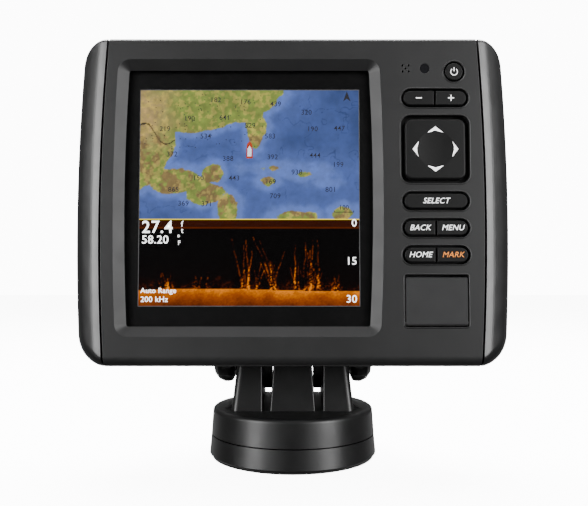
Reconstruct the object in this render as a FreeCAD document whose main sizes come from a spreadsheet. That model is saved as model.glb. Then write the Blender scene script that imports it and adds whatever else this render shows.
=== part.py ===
"""Fish finder on a swivel and tilt mount.

Frame: millimetres, +Z up, the display faces -Y, X runs to the right of a person who
reads the display.  The origin is the centre of the base's underside, on the swivel
axis.  Every size comes from the "Sizes" spreadsheet, and each function below makes
one piece of the real object.
"""
import FreeCAD, Part
import math
import os

import Sketcher

V = FreeCAD.Vector

CELLS = {
    # whole display head
    "case_width": 175.0,
    "case_height": 130.2,
    "head_height": 108.5,
    "face_front": 44.5,
    "side_radius": 950.0,
    "seam_width": 151.0,
    "seam_gap": 0.7,
    "shell_depth": 19.0,
    "side_round": 9.5,
    "bow_up": -4.0,
    "top_corner": 10.4,
    "bottom_corner": 13.2,
    "top_round": 1.7,
    "bottom_round": 4.2,
    "lip_high": 0.9,
    "lip_deep": 2.6,
    "wall": 2.5,
    # rear shell
    "flange": 2.5,
    "bulge_width": 140.0,
    "bulge_low": 44.0,
    "bulge_high": 52.0,
    "bulge_depth": 22.0,
    # window and display
    "window_across": -17.4,
    "window_half": 49.3,
    "window_end": 47.9,
    "window_high": 52.6,
    "window_low": 49.4,
    "window_recess": 2.5,
    "ring_corner": 5.3,
    "glass_corner": 1.0,
    "ring_width": 3.9,
    "lens_thick": 1.6,
    "glue_thick": 0.4,
    "lcd_across": -17.3,
    "lcd_up": 1.95,
    "lcd_width": 87.2,
    "lcd_height": 86.1,
    # keypad
    "column": 56.3,
    "key_width": 26.6,
    "key_height": 7.5,
    "key_gap": 0.9,
    "key_proud": 0.25,
    "key_depth": 2.6,
    "pair_gap": 0.7,
    "zoom_up": 40.8,
    "select_up": -0.2,
    "back_up": -10.8,
    "home_up": -21.4,
    "pad_up": 20.4,
    "pad_size": 24.0,
    "pad_bay": 27.0,
    "pad_corner": 3.7,
    "power_across": 64.0,
    "power_up": 51.4,
    "power_radius": 3.5,
    "sensor_across": 52.4,
    "sensor_up": 52.7,
    "sensor_radius": 1.9,
    "beeper_across": 44.8,
    # card door
    "door_width": 24.9,
    "door_high": -29.1,
    "door_low": -49.5,
    "door_gap": 0.4,
    "finger_gap": 1.0,
    "door_thick": 2.2,
    # base and pedestal
    "base_radius": 37.1,
    "seam_radius": 36.4,
    "drum_radius": 35.65,
    "base_high": 9.7,
    "drum_low": 10.2,
    "drum_high": 21.7,
    "drum_round": 2.0,
    "pad_thick": 1.0,
    "hole_circle": 24.0,
    "hole_radius": 2.3,
    "spigot_radius": 8.94,
    "bush_bore": 9.0,
    "neck_half": 26.5,
    "neck_half_top": 21.9,
    "neck_top": 62.0,
    "neck_front": 18.4,
    "neck_rear": 16.8,
    "tilt_height": 44.5,
    "lobe_radius": 14.6,
    "lug_radius": 15.4,
    "lug_near": 9.4,
    "lug_far": 12.7,
    "slot_floor": 24.7,
    "flare": 4.5,
    # tilt knobs
    "stud_radius": 2.5,
    "knob_radius": 12.5,
    "knob_near": 26.0,
    "knob_thick": 9.6,
    # cradle
    "deck_low": 60.4,
    "deck_thick": 3.6,
    "deck_half": 34.0,
    "deck_front": 21.0,
    "back_near": -2.6,
    "back_thick": 4.0,
    "back_half": 37.0,
    "back_top": 122.0,
    "socket_across": 17.0,
    "socket_height": 79.0,
    "socket_radius": 9.0,
    "socket_long": 11.0,
}


class Size:
    """A length in millimetres that also knows its formula over the spreadsheet."""

    def __init__(self, value, text):
        self.value = value
        self.text = text

    def joined(self, sign, other, value):
        return Size(value, "(%s %s %s)" % (self.text, sign, as_size(other).text))

    def __add__(self, other):
        return self.joined("+", other, self.value + as_size(other).value)

    def __sub__(self, other):
        return self.joined("-", other, self.value - as_size(other).value)

    def __mul__(self, other):
        return self.joined("*", other, self.value * as_size(other).value)

    def __truediv__(self, other):
        return self.joined("/", other, self.value / as_size(other).value)

    def __neg__(self):
        return self * -1.0

    def __radd__(self, other):
        return as_size(other) + self

    def __rsub__(self, other):
        return as_size(other) - self


def as_size(number):
    if isinstance(number, Size):
        return number
    return Size(float(number), "%.6f" % number)


class Sizes:
    """One attribute for each cell of the spreadsheet."""


def make_sheet(doc):
    sheet = doc.addObject("Spreadsheet::Sheet", "Sizes")
    sizes = Sizes()
    for row, (alias, value) in enumerate(CELLS.items(), start=1):
        sheet.set("A%d" % row, alias.replace("_", " "))
        sheet.set("B%d" % row, str(value))
        sheet.setAlias("B%d" % row, alias)
        setattr(sizes, alias, Size(value, "Sizes." + alias))
    doc.recompute()
    return sizes


DOC = FreeCAD.newDocument("fish_finder")
D = make_sheet(DOC)
AXES = {"X": V(1, 0, 0), "Y": V(0, 1, 0), "Z": V(0, 0, 1)}
PLANES = {"X": "YZ_Plane", "Y": "XZ_Plane", "Z": "XY_Plane"}


# ---------------------------------------------------------------- shared builders

def bind(item, prop, size):
    item.setExpression(prop, as_size(size).text)


def place(item, point, rotation=None):
    """Put an item at a point of three sizes."""
    base = V(*[as_size(c).value for c in point])
    item.Placement = FreeCAD.Placement(base, rotation or FreeCAD.Rotation())
    for axis, coordinate in zip("xyz", point):
        bind(item, "Placement.Base." + axis, coordinate)


def block(name, low, high):
    """Box between two corners."""
    item = DOC.addObject("Part::Box", name)
    for prop, start, end in zip(("Length", "Width", "Height"), low, high):
        bind(item, prop, as_size(end) - start)
    place(item, low)
    return item


def rod(name, axis, start, radius, length):
    """Cylinder along an axis, from the start point of that axis."""
    item = DOC.addObject("Part::Cylinder", name)
    bind(item, "Radius", radius)
    bind(item, "Height", length)
    place(item, start, FreeCAD.Rotation(V(0, 0, 1), AXES[axis]))
    return item


def outline(body, plane_role, corners):
    """Closed sketch of straight lines with every corner tied to its sizes."""
    sketch = body.newObject("Sketcher::SketchObject", body.Name + "_outline")
    plane = next(f for f in body.Origin.OriginFeatures if f.Role == plane_role)
    sketch.AttachmentSupport = [(plane, "")]
    sketch.MapMode = "FlatFace"
    corners = [(as_size(a), as_size(b)) for a, b in corners]
    points = [V(a.value, b.value, 0) for a, b in corners]
    count = len(points)
    for i in range(count):
        sketch.addGeometry(Part.LineSegment(points[i], points[(i + 1) % count]), False)
    for i in range(count):
        sketch.addConstraint(Sketcher.Constraint("Coincident", i, 2, (i + 1) % count, 1))
        for kind, size in zip(("DistanceX", "DistanceY"), corners[i]):
            index = sketch.addConstraint(Sketcher.Constraint(kind, -1, 1, i, 1, size.value))
            sketch.setExpression("Constraints[%d]" % index, size.text)
    return sketch


def prism(name, axis, corners, start, length, rounding=None):
    """Padded outline along an axis.  Corners are in the other two axes, in order."""
    body = DOC.addObject("PartDesign::Body", name)
    sketch = outline(body, PLANES[axis], corners)
    pad = body.newObject("PartDesign::Pad", name + "_pad")
    pad.Profile = sketch
    bind(pad, "Length", length)
    pad.Reversed = axis == "Y"
    place(body, [start if a == axis else 0.0 for a in "XYZ"])
    DOC.recompute()
    if rounding is not None:
        round_body(body, pad, rounding, lambda edge: runs_along(edge, axis))
    return body


def turned(name, axis, corners, centre, angle=360.0, start_turn=0.0):
    """Outline of (radius, along the axis) corners turned round an axis."""
    body = DOC.addObject("PartDesign::Body", name)
    if axis == "X":
        sketch = outline(body, "XY_Plane", [(along, radius) for radius, along in corners])
        line = "H_Axis"
    else:
        sketch = outline(body, {"Y": "XY_Plane", "Z": "XZ_Plane"}[axis], corners)
        line = "V_Axis"
    turn = body.newObject("PartDesign::Revolution", name + "_turn")
    turn.Profile = sketch
    turn.ReferenceAxis = (sketch, [line])
    turn.Angle = angle
    turn.Midplane = angle < 360.0
    place(body, centre, FreeCAD.Rotation(AXES[axis], start_turn))
    DOC.recompute()
    return body


def runs_along(edge, axis):
    """True for a straight edge parallel to an axis."""
    if not isinstance(edge.Curve, (Part.Line, Part.LineSegment)):
        return False
    direction = edge.Vertexes[1].Point.sub(edge.Vertexes[0].Point).normalize()
    return abs(abs(direction.dot(AXES[axis])) - 1.0) < 1e-6


def round_body(body, feature, radius, chosen):
    """Fillet inside a body on the edges that the test picks."""
    edges = feature.Shape.Edges
    names = ["Edge%d" % (i + 1) for i, edge in enumerate(edges) if chosen(edge)]
    fillet = body.newObject("PartDesign::Fillet", body.Name + "_round")
    fillet.Base = (feature, names)
    bind(fillet, "Radius", radius)
    DOC.recompute()
    return fillet


def edge_ends(edge):
    """Both end points of an edge, in the edge's own direction."""
    ends = [edge.valueAt(edge.FirstParameter), edge.valueAt(edge.LastParameter)]
    return ends if edge.Orientation == "Forward" else ends[::-1]


def rounded(name, item, radius, chosen):
    """Part fillet on the edges that the test picks.  The radius is one size, or a
    function that gives it at a point, for a round that changes along its edge."""
    DOC.recompute()
    radius_at = radius if callable(radius) else lambda point: as_size(radius).value
    fillet = DOC.addObject("Part::Fillet", name)
    fillet.Base = item
    fillet.Edges = [(i + 1, *[radius_at(point) for point in edge_ends(edge)])
                    for i, edge in enumerate(item.Shape.Edges) if chosen(edge)]
    DOC.recompute()
    return fillet


def fuse(name, items):
    item = DOC.addObject("Part::MultiFuse", name)
    item.Shapes = items
    item.Refine = True
    return item


def common(name, items):
    item = DOC.addObject("Part::MultiCommon", name)
    item.Shapes = items
    return item


def cut(name, base, tools):
    item = DOC.addObject("Part::Cut", name)
    item.Base = base
    item.Tool = tools[0] if len(tools) == 1 else fuse(name + "_tools", tools)
    return item


def shape_item(name, shape):
    """Part feature that holds a shape made directly."""
    item = DOC.addObject("Part::Feature", name)
    item.Shape = shape
    return item


def group(name, items):
    """Separate equal solids under one name."""
    item = DOC.addObject("Part::Compound", name)
    item.Links = items
    return item


def up(height):
    """Height above the middle of the head."""
    return D.head_height + height


def deep(depth):
    """Y of a depth behind the front face of the head."""
    return as_size(depth) - D.face_front


def rectangle(left, right, low, high):
    return [(left, low), (right, low), (right, high), (left, high)]


def tile(name, across, height, width, tall, front, thick, corner=None):
    """Upright plate in the head: centre, size, depth of its front, and thickness."""
    half = as_size(width) / 2
    rise = as_size(tall) / 2
    corners = rectangle(across - half, across + half, up(height) - rise, up(height) + rise)
    return prism(name, "Y", corners, deep(front), thick, corner)


def ring(name, across, height, width, tall, band, front, thick, corner=None):
    """Upright rectangular frame with an even band."""
    outer = tile(name + "_outer", across, height, width, tall, front, thick, corner)
    inner = tile(name + "_inner", across, height, width - band * 2, tall - band * 2,
                 front - 1.0, thick + 2.0)
    return cut(name, outer, [inner])


def moved(point, axis, distance):
    """The same point further along one axis."""
    return tuple(c + distance if a == axis else c for a, c in zip("XYZ", point))


def screw(name, axis, head_end, head_radius, head_thick, shank_radius, shank_long, way=1):
    """Pan-head screw whose head starts at head_end and whose shank runs along way."""
    neck = moved(head_end, axis, head_thick * way)
    tip = moved(neck, axis, shank_long * way)
    head_start, shank_start = (head_end, neck) if way > 0 else (neck, tip)
    return fuse(name, [rod(name + "_head", axis, head_start, head_radius, head_thick),
                       rod(name + "_shank", axis, shank_start, shank_radius, shank_long)])


# ---------------------------------------------------------------- base and swivel

def ring_points(radius, count, first_angle):
    """Points evenly round the swivel axis as pairs of sizes."""
    turns = [math.radians(first_angle + 360.0 * i / count) for i in range(count)]
    return [(radius * math.cos(t), radius * math.sin(t)) for t in turns]


def base_holes(name):
    """Four screw holes right through the base."""
    return [rod("%s_hole_%d" % (name, i), "Z", (x, y, -1.0), D.hole_radius, 12.0)
            for i, (x, y) in enumerate(ring_points(D.hole_circle, 4, 45.0))]


def base_plate():
    low = D.pad_thick
    profile = [
        (13.8, low), (D.base_radius - 0.7, low), (D.base_radius, low + 0.7),
        (D.seam_radius, D.base_high), (D.seam_radius - 3.0, D.base_high),
        (D.seam_radius - 3.0, 6.2), (14.5, 6.2), (14.5, 8.0), (9.9, 8.0), (9.9, 4.2),
        (13.8, 4.2)]
    shell = turned("base_shell", "Z", profile, (0, 0, 0))
    stop = turned("base_stop", "Z", rectangle(30.0, 32.6, 6.0, 8.6), (0, 0, 0), 150.0, 90.0)
    solid = fuse("base_solid", [shell, stop])
    return cut("base_plate", solid, base_holes("base"))


def base_pad():
    disc = turned("pad_disc", "Z", rectangle(14.2, D.base_radius - 1.2, 0.0, D.pad_thick),
                  (0, 0, 0))
    return cut("base_pad", disc, base_holes("pad"))


def swivel_bush():
    profile = [(D.bush_bore, 4.2), (9.9, 4.2), (9.9, 8.0), (13.5, 8.0), (13.5, 9.2),
               (D.bush_bore, 9.2)]
    return turned("swivel_bush", "Z", profile, (0, 0, 0))


def swivel_washer():
    return turned("swivel_washer", "Z", rectangle(2.7, 12.4, 2.8, 4.0), (0, 0, 0))


def swivel_screw():
    return screw("swivel_screw", "Z", (0.0, 0.0, 1.1), 4.6, 1.7, 2.45, 12.5)


def pedestal_drum():
    """Rotating upper drum: a thin cap with a hub that runs in the bush."""
    top = D.drum_high
    profile = [
        (2.5, 4.0), (D.spigot_radius, 4.0), (D.spigot_radius, 9.4), (13.2, 9.4),
        (13.2, top - 3.2), (D.drum_radius - 3.4, top - 3.2),
        (D.seam_radius - 3.3, D.drum_low), (D.seam_radius, D.drum_low),
        (D.drum_radius, top), (2.5, top)]
    body = turned("drum_cap", "Z", profile, (0, 0, 0))
    rim = D.drum_radius.value
    round_body(body, body.Tip, D.drum_round,
               lambda e: e.BoundBox.ZMin > top.value - 1e-3 and e.BoundBox.XLength > rim)
    return body


def lobe_tangent(along, height):
    """Point where a line from (along, height) touches the lobe from outside."""
    rise = height - D.tilt_height.value
    reach = math.hypot(along, rise)
    turn = math.acos(D.lobe_radius.value / reach)
    angle = math.atan2(rise, along) + (turn if along > 0 else -turn)
    return (D.lobe_radius.value * math.cos(angle),
            D.tilt_height.value + D.lobe_radius.value * math.sin(angle))


def neck_form():
    """Tapered neck whose front and rear run into a round lobe on the tilt axis."""
    foot = D.drum_high - 2.0
    side = [(-D.neck_front, foot), (D.neck_rear, foot),
            lobe_tangent(D.neck_rear.value, foot.value),
            lobe_tangent(-D.neck_front.value, foot.value)]
    wedge = prism("neck_side", "X", side, -40.0, 80.0)
    lobe = rod("neck_lobe", "X", (-40.0, 0.0, D.tilt_height), D.lobe_radius, 80.0)
    front = [(-D.neck_half, foot), (D.neck_half, foot), (D.neck_half_top, D.neck_top),
             (-D.neck_half_top, D.neck_top)]
    taper = prism("neck_taper", "Y", front, -40.0, 80.0)
    return common("neck_form", [fuse("neck_side_form", [wedge, lobe]), taper])


def neck_slot(side):
    """Tapered slot for one cradle lug, with a floor that falls to the drum's front."""
    name = "neck_slot_%s" % side_name(side)
    inner_low, inner_high = 9.75, 6.8
    outer_low, outer_high = 12.9, 13.35
    low = D.drum_high
    corners = [(inner_low * side, low), (outer_low * side, low),
               (outer_high * side, D.neck_top), (inner_high * side, D.neck_top)]
    taper = prism(name + "_taper", "Y", corners, -40.0, 80.0)
    room = [(-40.0, low), (-D.neck_front, low), (D.neck_rear, D.slot_floor),
            (40.0, D.slot_floor), (40.0, D.neck_top), (-40.0, D.neck_top)]
    return common(name, [taper, prism(name + "_room", "X", room, -40.0, 80.0)])


def is_neck_edge(edge):
    """Long upright edge at the front or rear of a prong."""
    box = edge.BoundBox
    return box.ZLength > 15.0 and box.Center.z < 40.0 and box.YLength < 6.0


def is_outer_neck_edge(edge):
    return is_neck_edge(edge) and abs(edge.BoundBox.Center.x) > D.neck_half_top.value


def is_slot_edge(edge):
    return is_neck_edge(edge) and not is_outer_neck_edge(edge)


def neck_flare(side):
    """Hollow-curved foot between the neck's side and the drum."""
    name = "flare_%s" % side_name(side)
    inner = D.neck_half - 1.2
    outer = inner + D.flare + 1.0
    left, right = (inner, outer) if side > 0 else (-outer, -inner)
    corner = block(name + "_corner", (left, -11.0, D.drum_high - 1.0),
                   (right, 11.0, D.drum_high + D.flare + 1.0))
    centre = (outer * side, -12.0, D.drum_high + D.flare + 1.0)
    return cut(name, corner, [rod(name + "_hollow", "Y", centre, D.flare + 1.0, 24.0)])


def neck_boss(side):
    """Round pad on the outer prong that the knob's washer bears on."""
    left = as_size(20.0) if side > 0 else -D.knob_near + 0.8
    return rod("neck_boss_%s" % side_name(side), "X", (left, 0.0, D.tilt_height), 8.2,
               D.knob_near - 20.8)


def pedestal():
    prongs = cut("neck_prongs", neck_form(), [neck_slot(-1), neck_slot(1)])
    sides = rounded("neck_sides", prongs, 2.8, is_outer_neck_edge)
    soft = rounded("neck_soft", sides, 0.8, is_slot_edge)
    tab = turned("stop_tab", "Z", rectangle(30.2, 32.3, 6.8, 19.0), (0, 0, 0), 12.0, -90.0)
    extras = [part(side) for part in (neck_flare, neck_boss) for side in (-1, 1)]
    solid = fuse("pedestal_solid", [pedestal_drum(), soft, tab] + extras)
    bore = rod("tilt_bore", "X", (-40.0, 0.0, D.tilt_height), D.stud_radius + 0.06, 80.0)
    return cut("pedestal", solid, [bore])


# ---------------------------------------------------------------- tilt knobs

def tilt_stud(side):
    """Steel stud moulded into a knob, in through the prongs."""
    start = -D.knob_near - 6.0 if side < 0 else as_size(3.0)
    name = "%s_knob_stud" % side_name(side)
    return rod(name, "X", (start, 0.0, D.tilt_height), D.stud_radius, D.knob_near + 3.0)


def side_name(side):
    return "left" if side < 0 else "right"


def knob_washer(side):
    name = "%s_knob_washer" % side_name(side)
    near = D.knob_near - 0.7
    profile = rectangle(D.stud_radius + 0.08, 8.2, near * side, (D.knob_near - 0.1) * side)
    return turned(name, "X", profile, (0, 0, D.tilt_height))


def tilt_knob(side):
    """Domed grip with scallops round its rim."""
    name = "%s_tilt_knob" % side_name(side)
    start = D.knob_near * side
    end = (D.knob_near + D.knob_thick) * side
    r = D.knob_radius
    profile = [
        (0.0, start), (r - 2.4, start), (r - 0.5, start + 0.9 * side),
        (r, start + 2.4 * side), (r, end - 5.2 * side), (r - 1.2, end - 2.6 * side),
        (r - 3.6, end - 0.8 * side), (r - 7.0, end), (0.0, end)]
    grip = turned(name + "_grip", "X", profile, (0, 0, D.tilt_height))
    low = start if side > 0 else end
    tools = []
    for i in range(10):
        turn = math.radians(36.0 * i + 18.0)
        centre = (low - 1.0, 15.2 * math.cos(turn), D.tilt_height + 15.2 * math.sin(turn))
        tools.append(rod("%s_scallop_%d" % (name, i), "X", centre, 3.5, D.knob_thick + 2.0))
    socket = start if side > 0 else start - 6.0
    tools.append(rod(name + "_socket", "X", (socket, 0.0, D.tilt_height),
                     D.stud_radius, 6.0))
    return cut(name, grip, tools)


def tilt_insert():
    """Brass threaded sleeves pressed into the two cradle lugs."""
    sleeves = []
    for side in (-1, 1):
        profile = rectangle(D.stud_radius + 0.05, 4.2, D.lug_near * side, D.lug_far * side)
        sleeves.append(turned("sleeve_%s" % side_name(side), "X", profile,
                              (0, 0, D.tilt_height)))
    return group("tilt_inserts", sleeves)


# ---------------------------------------------------------------- cradle

def cradle_lug(side):
    """Ear that sits in a neck slot and carries a threaded sleeve."""
    name = "lug_%s" % side_name(side)
    left = D.lug_near if side > 0 else -D.lug_far
    wide = D.lug_far - D.lug_near
    disc = rod(name + "_disc", "X", (left, 0.0, D.tilt_height), D.lug_radius, wide)
    riser = block(name + "_riser", (left, -13.0, D.tilt_height),
                  (left + wide, 13.0, D.deck_low + 1.0))
    bore = rod(name + "_bore", "X", (left - 1.0, 0.0, D.tilt_height), 4.2, wide + 2.0)
    return cut(name, fuse(name + "_solid", [disc, riser]), [bore])


def cradle_back():
    """Upright back of the cradle with the window for the connector block."""
    corners = rectangle(-D.back_half, D.back_half, D.deck_low, D.back_top)
    plate = prism("cradle_plate", "Y", corners, D.back_near, D.back_thick, 6.0)
    window = block("block_window", (-13.5, -10.0, 91.0), (13.5, 10.0, 103.0))
    latch = block("latch_window", (-9.5, -10.0, 107.4), (9.5, 10.0, 130.0))
    holes = [rod("socket_hole_%s" % side_name(s), "Y",
                 (D.socket_across * s, -10.0, D.socket_height), 7.0, 20.0) for s in (-1, 1)]
    pilots = [rod("cradle_pilot_%d" % i, "Y", (x, -10.0, z), 1.45, 20.0)
              for i, (x, z) in enumerate(cradle_screw_places())]
    return cut("cradle_back", plate, [window, latch] + holes + pilots)


def cradle_body():
    deck = prism("cradle_deck", "Z", rectangle(-D.deck_half, D.deck_half, -D.deck_front, 1.8),
                 D.deck_low, D.deck_thick, 1.0)
    cheeks = []
    for side in (-1, 1):
        left = D.back_half * side - (3.0 if side > 0 else 0.0)
        rib = [(D.back_near + 3.0, D.deck_low), (D.back_near + 10.0, D.deck_low + 4.0),
               (D.back_near + 10.0, 96.0), (D.back_near + 3.0, 104.0)]
        cheeks.append(prism("cheek_%s" % side_name(side), "X", rib, left, 3.0))
    parts = [deck, cradle_back(), cradle_lug(-1), cradle_lug(1)] + cheeks
    parts += [lock_guide(-1), lock_guide(1)]
    return fuse("cradle_body", parts)


def socket_floor():
    return D.back_near + D.back_thick + 1.0


def hollow_socket(name, across):
    """Round connector shell, open to the rear, with a flange on the cradle."""
    back = D.back_near + D.back_thick
    r = D.socket_radius
    spigot = 6.9
    front = D.back_near + 1.2
    profile = [(0.0, front), (spigot, front), (spigot, back), (r + 1.6, back),
               (r + 1.6, back + 1.6), (r, back + 1.6), (r, back + D.socket_long),
               (r - 1.5, back + D.socket_long), (r - 1.5, socket_floor()),
               (0.0, socket_floor())]
    return turned(name, "Y", profile, (across, 0, D.socket_height))


def power_socket():
    return hollow_socket("power_socket", -D.socket_across)


def sonar_socket():
    return hollow_socket("sonar_socket", D.socket_across)


def socket_pins():
    """Contact pins in both sockets: four in a square and eight in a ring."""
    start = socket_floor()
    pins = []
    for side, count, radius in ((-1, 4, 3.2), (1, 8, 4.4)):
        for i in range(count):
            turn = 2 * math.pi * (i + 0.5) / count
            centre = (D.socket_across * side + radius * math.cos(turn), start,
                      D.socket_height + radius * math.sin(turn))
            pins.append(rod("pin_%d_%d" % (count, i), "Y", centre, 0.6, 5.0))
    return group("socket_pins", pins)


def connector_block():
    """Carrier of the spring contacts that meet the head."""
    near = D.back_near - 0.1
    corners = rectangle(-13.3, 13.3, 91.2, 102.8)
    body = prism("contact_carrier", "Y", corners, near, 3.9, 2.0)
    holes = [rod("contact_hole_%d" % i, "Y", (x, -10.0, 97.0), 0.9, 20.0)
             for i, x in enumerate(contact_places())]
    return cut("connector_block", body, holes)


def contact_places():
    return [-10.2 + 2.55 * i for i in range(9)]


def contact_pins():
    near = D.back_near - 0.4
    pins = [rod("contact_%d" % i, "Y", (x, near, 97.0), 0.85, 4.2)
            for i, x in enumerate(contact_places())]
    return group("contact_pins", pins)


def latch_lever():
    """Sprung release lever in the window at the top of the cradle."""
    near = D.back_near
    side = [(near + 0.6, 108.4), (near + 3.8, 108.4), (near + 6.6, 117.4), (near + 9.6, 120.8),
            (near + 8.4, 123.0), (near + 4.6, 119.8), (near + 0.6, 117.2)]
    lever = prism("lever_form", "X", side, -8.8, 17.6)
    bore = rod("lever_bore", "X", (-20.0, near + 2.2, 113.0), 1.05, 40.0)
    pocket = rod("lever_pocket", "X", (-2.8, near + 2.2, 113.0), 2.4, 5.6)
    return cut("latch_lever", lever, [bore, pocket])


def latch_pin():
    return rod("latch_pin", "X", (-9.5, D.back_near + 2.2, 113.0), 1.0, 19.0)


def latch_spring():
    """Torsion spring coiled round the latch pin."""
    radius = 1.62
    coil = Part.makeHelix(0.9, 4.5, radius)
    section = Part.Wire([Part.makeCircle(0.3, V(radius, 0, 0), V(0, 1, 0))])
    item = DOC.addObject("Part::Feature", "latch_spring")
    item.Shape = Part.Wire(coil).makePipeShell([section], True, True)
    item.Placement = FreeCAD.Placement(V(-2.25, D.back_near.value + 2.2, 113.0),
                                       FreeCAD.Rotation(V(0, 0, 1), V(1, 0, 0)))
    return item


def connector_lock():
    """Sliding bar that drops behind the plugs to keep them seated."""
    back = D.back_near + D.back_thick + 0.3
    bar = prism("lock_bar", "Y", rectangle(-31.0, 31.0, 95.6, 104.6), back, 2.2, 2.0)
    grip = block("lock_grip", (-14.0, back + 1.0, 98.6), (14.0, back + 4.6, 101.4))
    return fuse("connector_lock", [bar, grip])


def lock_guide(side):
    """Rail that holds one end of the sliding bar to the cradle."""
    back = D.back_near + D.back_thick
    name = "guide_%s" % side_name(side)
    foot = 31.3 if side > 0 else -33.9
    lip = 29.2 if side > 0 else -33.9
    return fuse(name, [
        block(name + "_foot", (foot, back - 1.0, 88.5), (foot + 2.6, back + 4.2, 105.5)),
        block(name + "_lip", (lip, back + 2.8, 88.5), (lip + 4.7, back + 4.2, 105.5))])


def cradle_screw_places():
    return [(x, z) for x in (-28.5, 28.5) for z in (68.5, 113.5)]


def cradle_screws():
    """Screws that hold the sockets' carrier to the cradle, heads to the rear."""
    back = D.back_near + D.back_thick
    screws = [screw("cradle_screw_%d" % i, "Y", (x, back + 1.5, z), 3.0, 1.5, 1.4, 3.8, -1)
              for i, (x, z) in enumerate(cradle_screw_places())]
    return group("cradle_screws", screws)


# ---------------------------------------------------------------- head shells

def bow_at(half_width, height):
    """Half width of a bowed outline at one height above the head's centre."""
    rise = height - D.bow_up.value
    return half_width - D.side_radius.value + math.sqrt(D.side_radius.value ** 2 - rise ** 2)


def bowed_block(name, half_width, start, length):
    """Block with both sides bowed to the case's radius."""
    y = as_size(start).value
    mid = as_size(half_width).value
    bow_height = up(D.bow_up).value
    low, high = [up(D.case_height / 2 * way).value for way in (-1, 1)]
    foot, brow = [bow_at(mid, z - up(0.0).value) for z in (low, high)]
    edges = [
        Part.LineSegment(V(-foot, y, low), V(foot, y, low)).toShape(),
        Part.Arc(V(foot, y, low), V(mid, y, bow_height), V(brow, y, high)).toShape(),
        Part.LineSegment(V(brow, y, high), V(-brow, y, high)).toShape(),
        Part.Arc(V(-brow, y, high), V(-mid, y, bow_height), V(-foot, y, low)).toShape()]
    face = Part.Face(Part.Wire(edges))
    return shape_item(name, face.extrude(V(0, as_size(length).value, 0)))


def case_block(name, inset, start, length):
    """The case's whole outline, with bowed sides and round corners."""
    blank = bowed_block(name + "_blank", D.case_width / 2 - inset, start, length)
    high = rounded(name + "_high", blank, D.top_corner,
                   lambda e: runs_along(e, "Y") and e.BoundBox.Center.z > up(0.0).value)
    return rounded(name, high, D.bottom_corner,
                   lambda e: runs_along(e, "Y") and e.BoundBox.ZMax < up(-60.0).value)


def front_radius(point):
    """Round of the case's front edge: small on top, wide down the sides."""
    half = D.case_height.value / 2 - 0.05
    if point.z > up(0.0).value + half:
        return D.top_round.value
    if point.z < up(0.0).value - half:
        return D.bottom_round.value
    return D.side_round.value


def case_form():
    """Front of the head before the seams divide it, with a lip along the bottom."""
    blank = case_block("case_outline", 0.0, deep(0.0), D.shell_depth)
    front = deep(0.0).value
    soft = rounded("case_soft", blank, front_radius, lambda e: e.BoundBox.YMax < front + 1e-3)
    low = up(-D.case_height / 2)
    notch = block("case_lip_cut", (-100.0, deep(-1.0), low - 1.0),
                  (100.0, deep(D.lip_deep), low + D.lip_high))
    return cut("case_form", soft, [notch])


def side_trim(form, side):
    """Rounded side moulding that follows the bowed seam."""
    name = "%s_trim" % side_name(side)
    low = up(-D.case_height)
    left, right = (0.0, 100.0) if side > 0 else (-100.0, 0.0)
    half = block(name + "_half", (left, deep(-1.0), low), (right, deep(30.0), up(D.case_height)))
    seam = bowed_block(name + "_seam", D.seam_width / 2 + D.seam_gap, deep(-1.0),
                       D.shell_depth + 2.0)
    return cut(name, common(name + "_form", [form, half]), [seam])


def bowed_outline(half_mid, half_end, low, high, depth, across):
    """Closed wire with straight ends and bowed sides."""
    y = deep(depth).value
    mid = (low + high) / 2
    corners = [V(across - half_end, y, low), V(across + half_end, y, low),
               V(across + half_end, y, high), V(across - half_end, y, high)]
    edges = [
        Part.LineSegment(corners[0], corners[1]).toShape(),
        Part.Arc(corners[1], V(across + half_mid, y, mid), corners[2]).toShape(),
        Part.LineSegment(corners[2], corners[3]).toShape(),
        Part.Arc(corners[3], V(across - half_mid, y, mid), corners[0]).toShape()]
    return Part.Wire(edges)


def soft_outline(half_mid, half_end, low, high, depth, across, corner):
    """The same wire with round corners."""
    slab = Part.Face(bowed_outline(half_mid, half_end, low, high, depth, across))
    slab = slab.extrude(V(0, 1.0, 0))
    soft = slab.makeFillet(corner, [e for e in slab.Edges if runs_along(e, "Y")])
    return min(soft.Faces, key=lambda face: face.CenterOfMass.y).OuterWire


def window_tool():
    """Sloped opening in front of the glass, wide at the face and rounded."""
    reach = D.ring_width.value
    across = D.window_across.value
    high = up(D.window_high).value
    low = up(-D.window_low).value
    mid = D.window_half.value
    end = D.window_end.value
    front = soft_outline(mid + reach, end + reach, low - reach, high + reach, 0.0, across,
                         D.ring_corner.value)
    rear = soft_outline(mid, end, low, high, D.window_recess, across, D.glass_corner.value)
    slope = shape_item("window_slope", Part.makeLoft([front, rear], True, True))
    through = shape_item("window_through", Part.Face(rear).extrude(V(0, 4.0, 0)))
    nose = shape_item("window_nose", Part.Face(front).extrude(V(0, -1.0, 0)))
    return [slope, through, nose]


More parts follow.
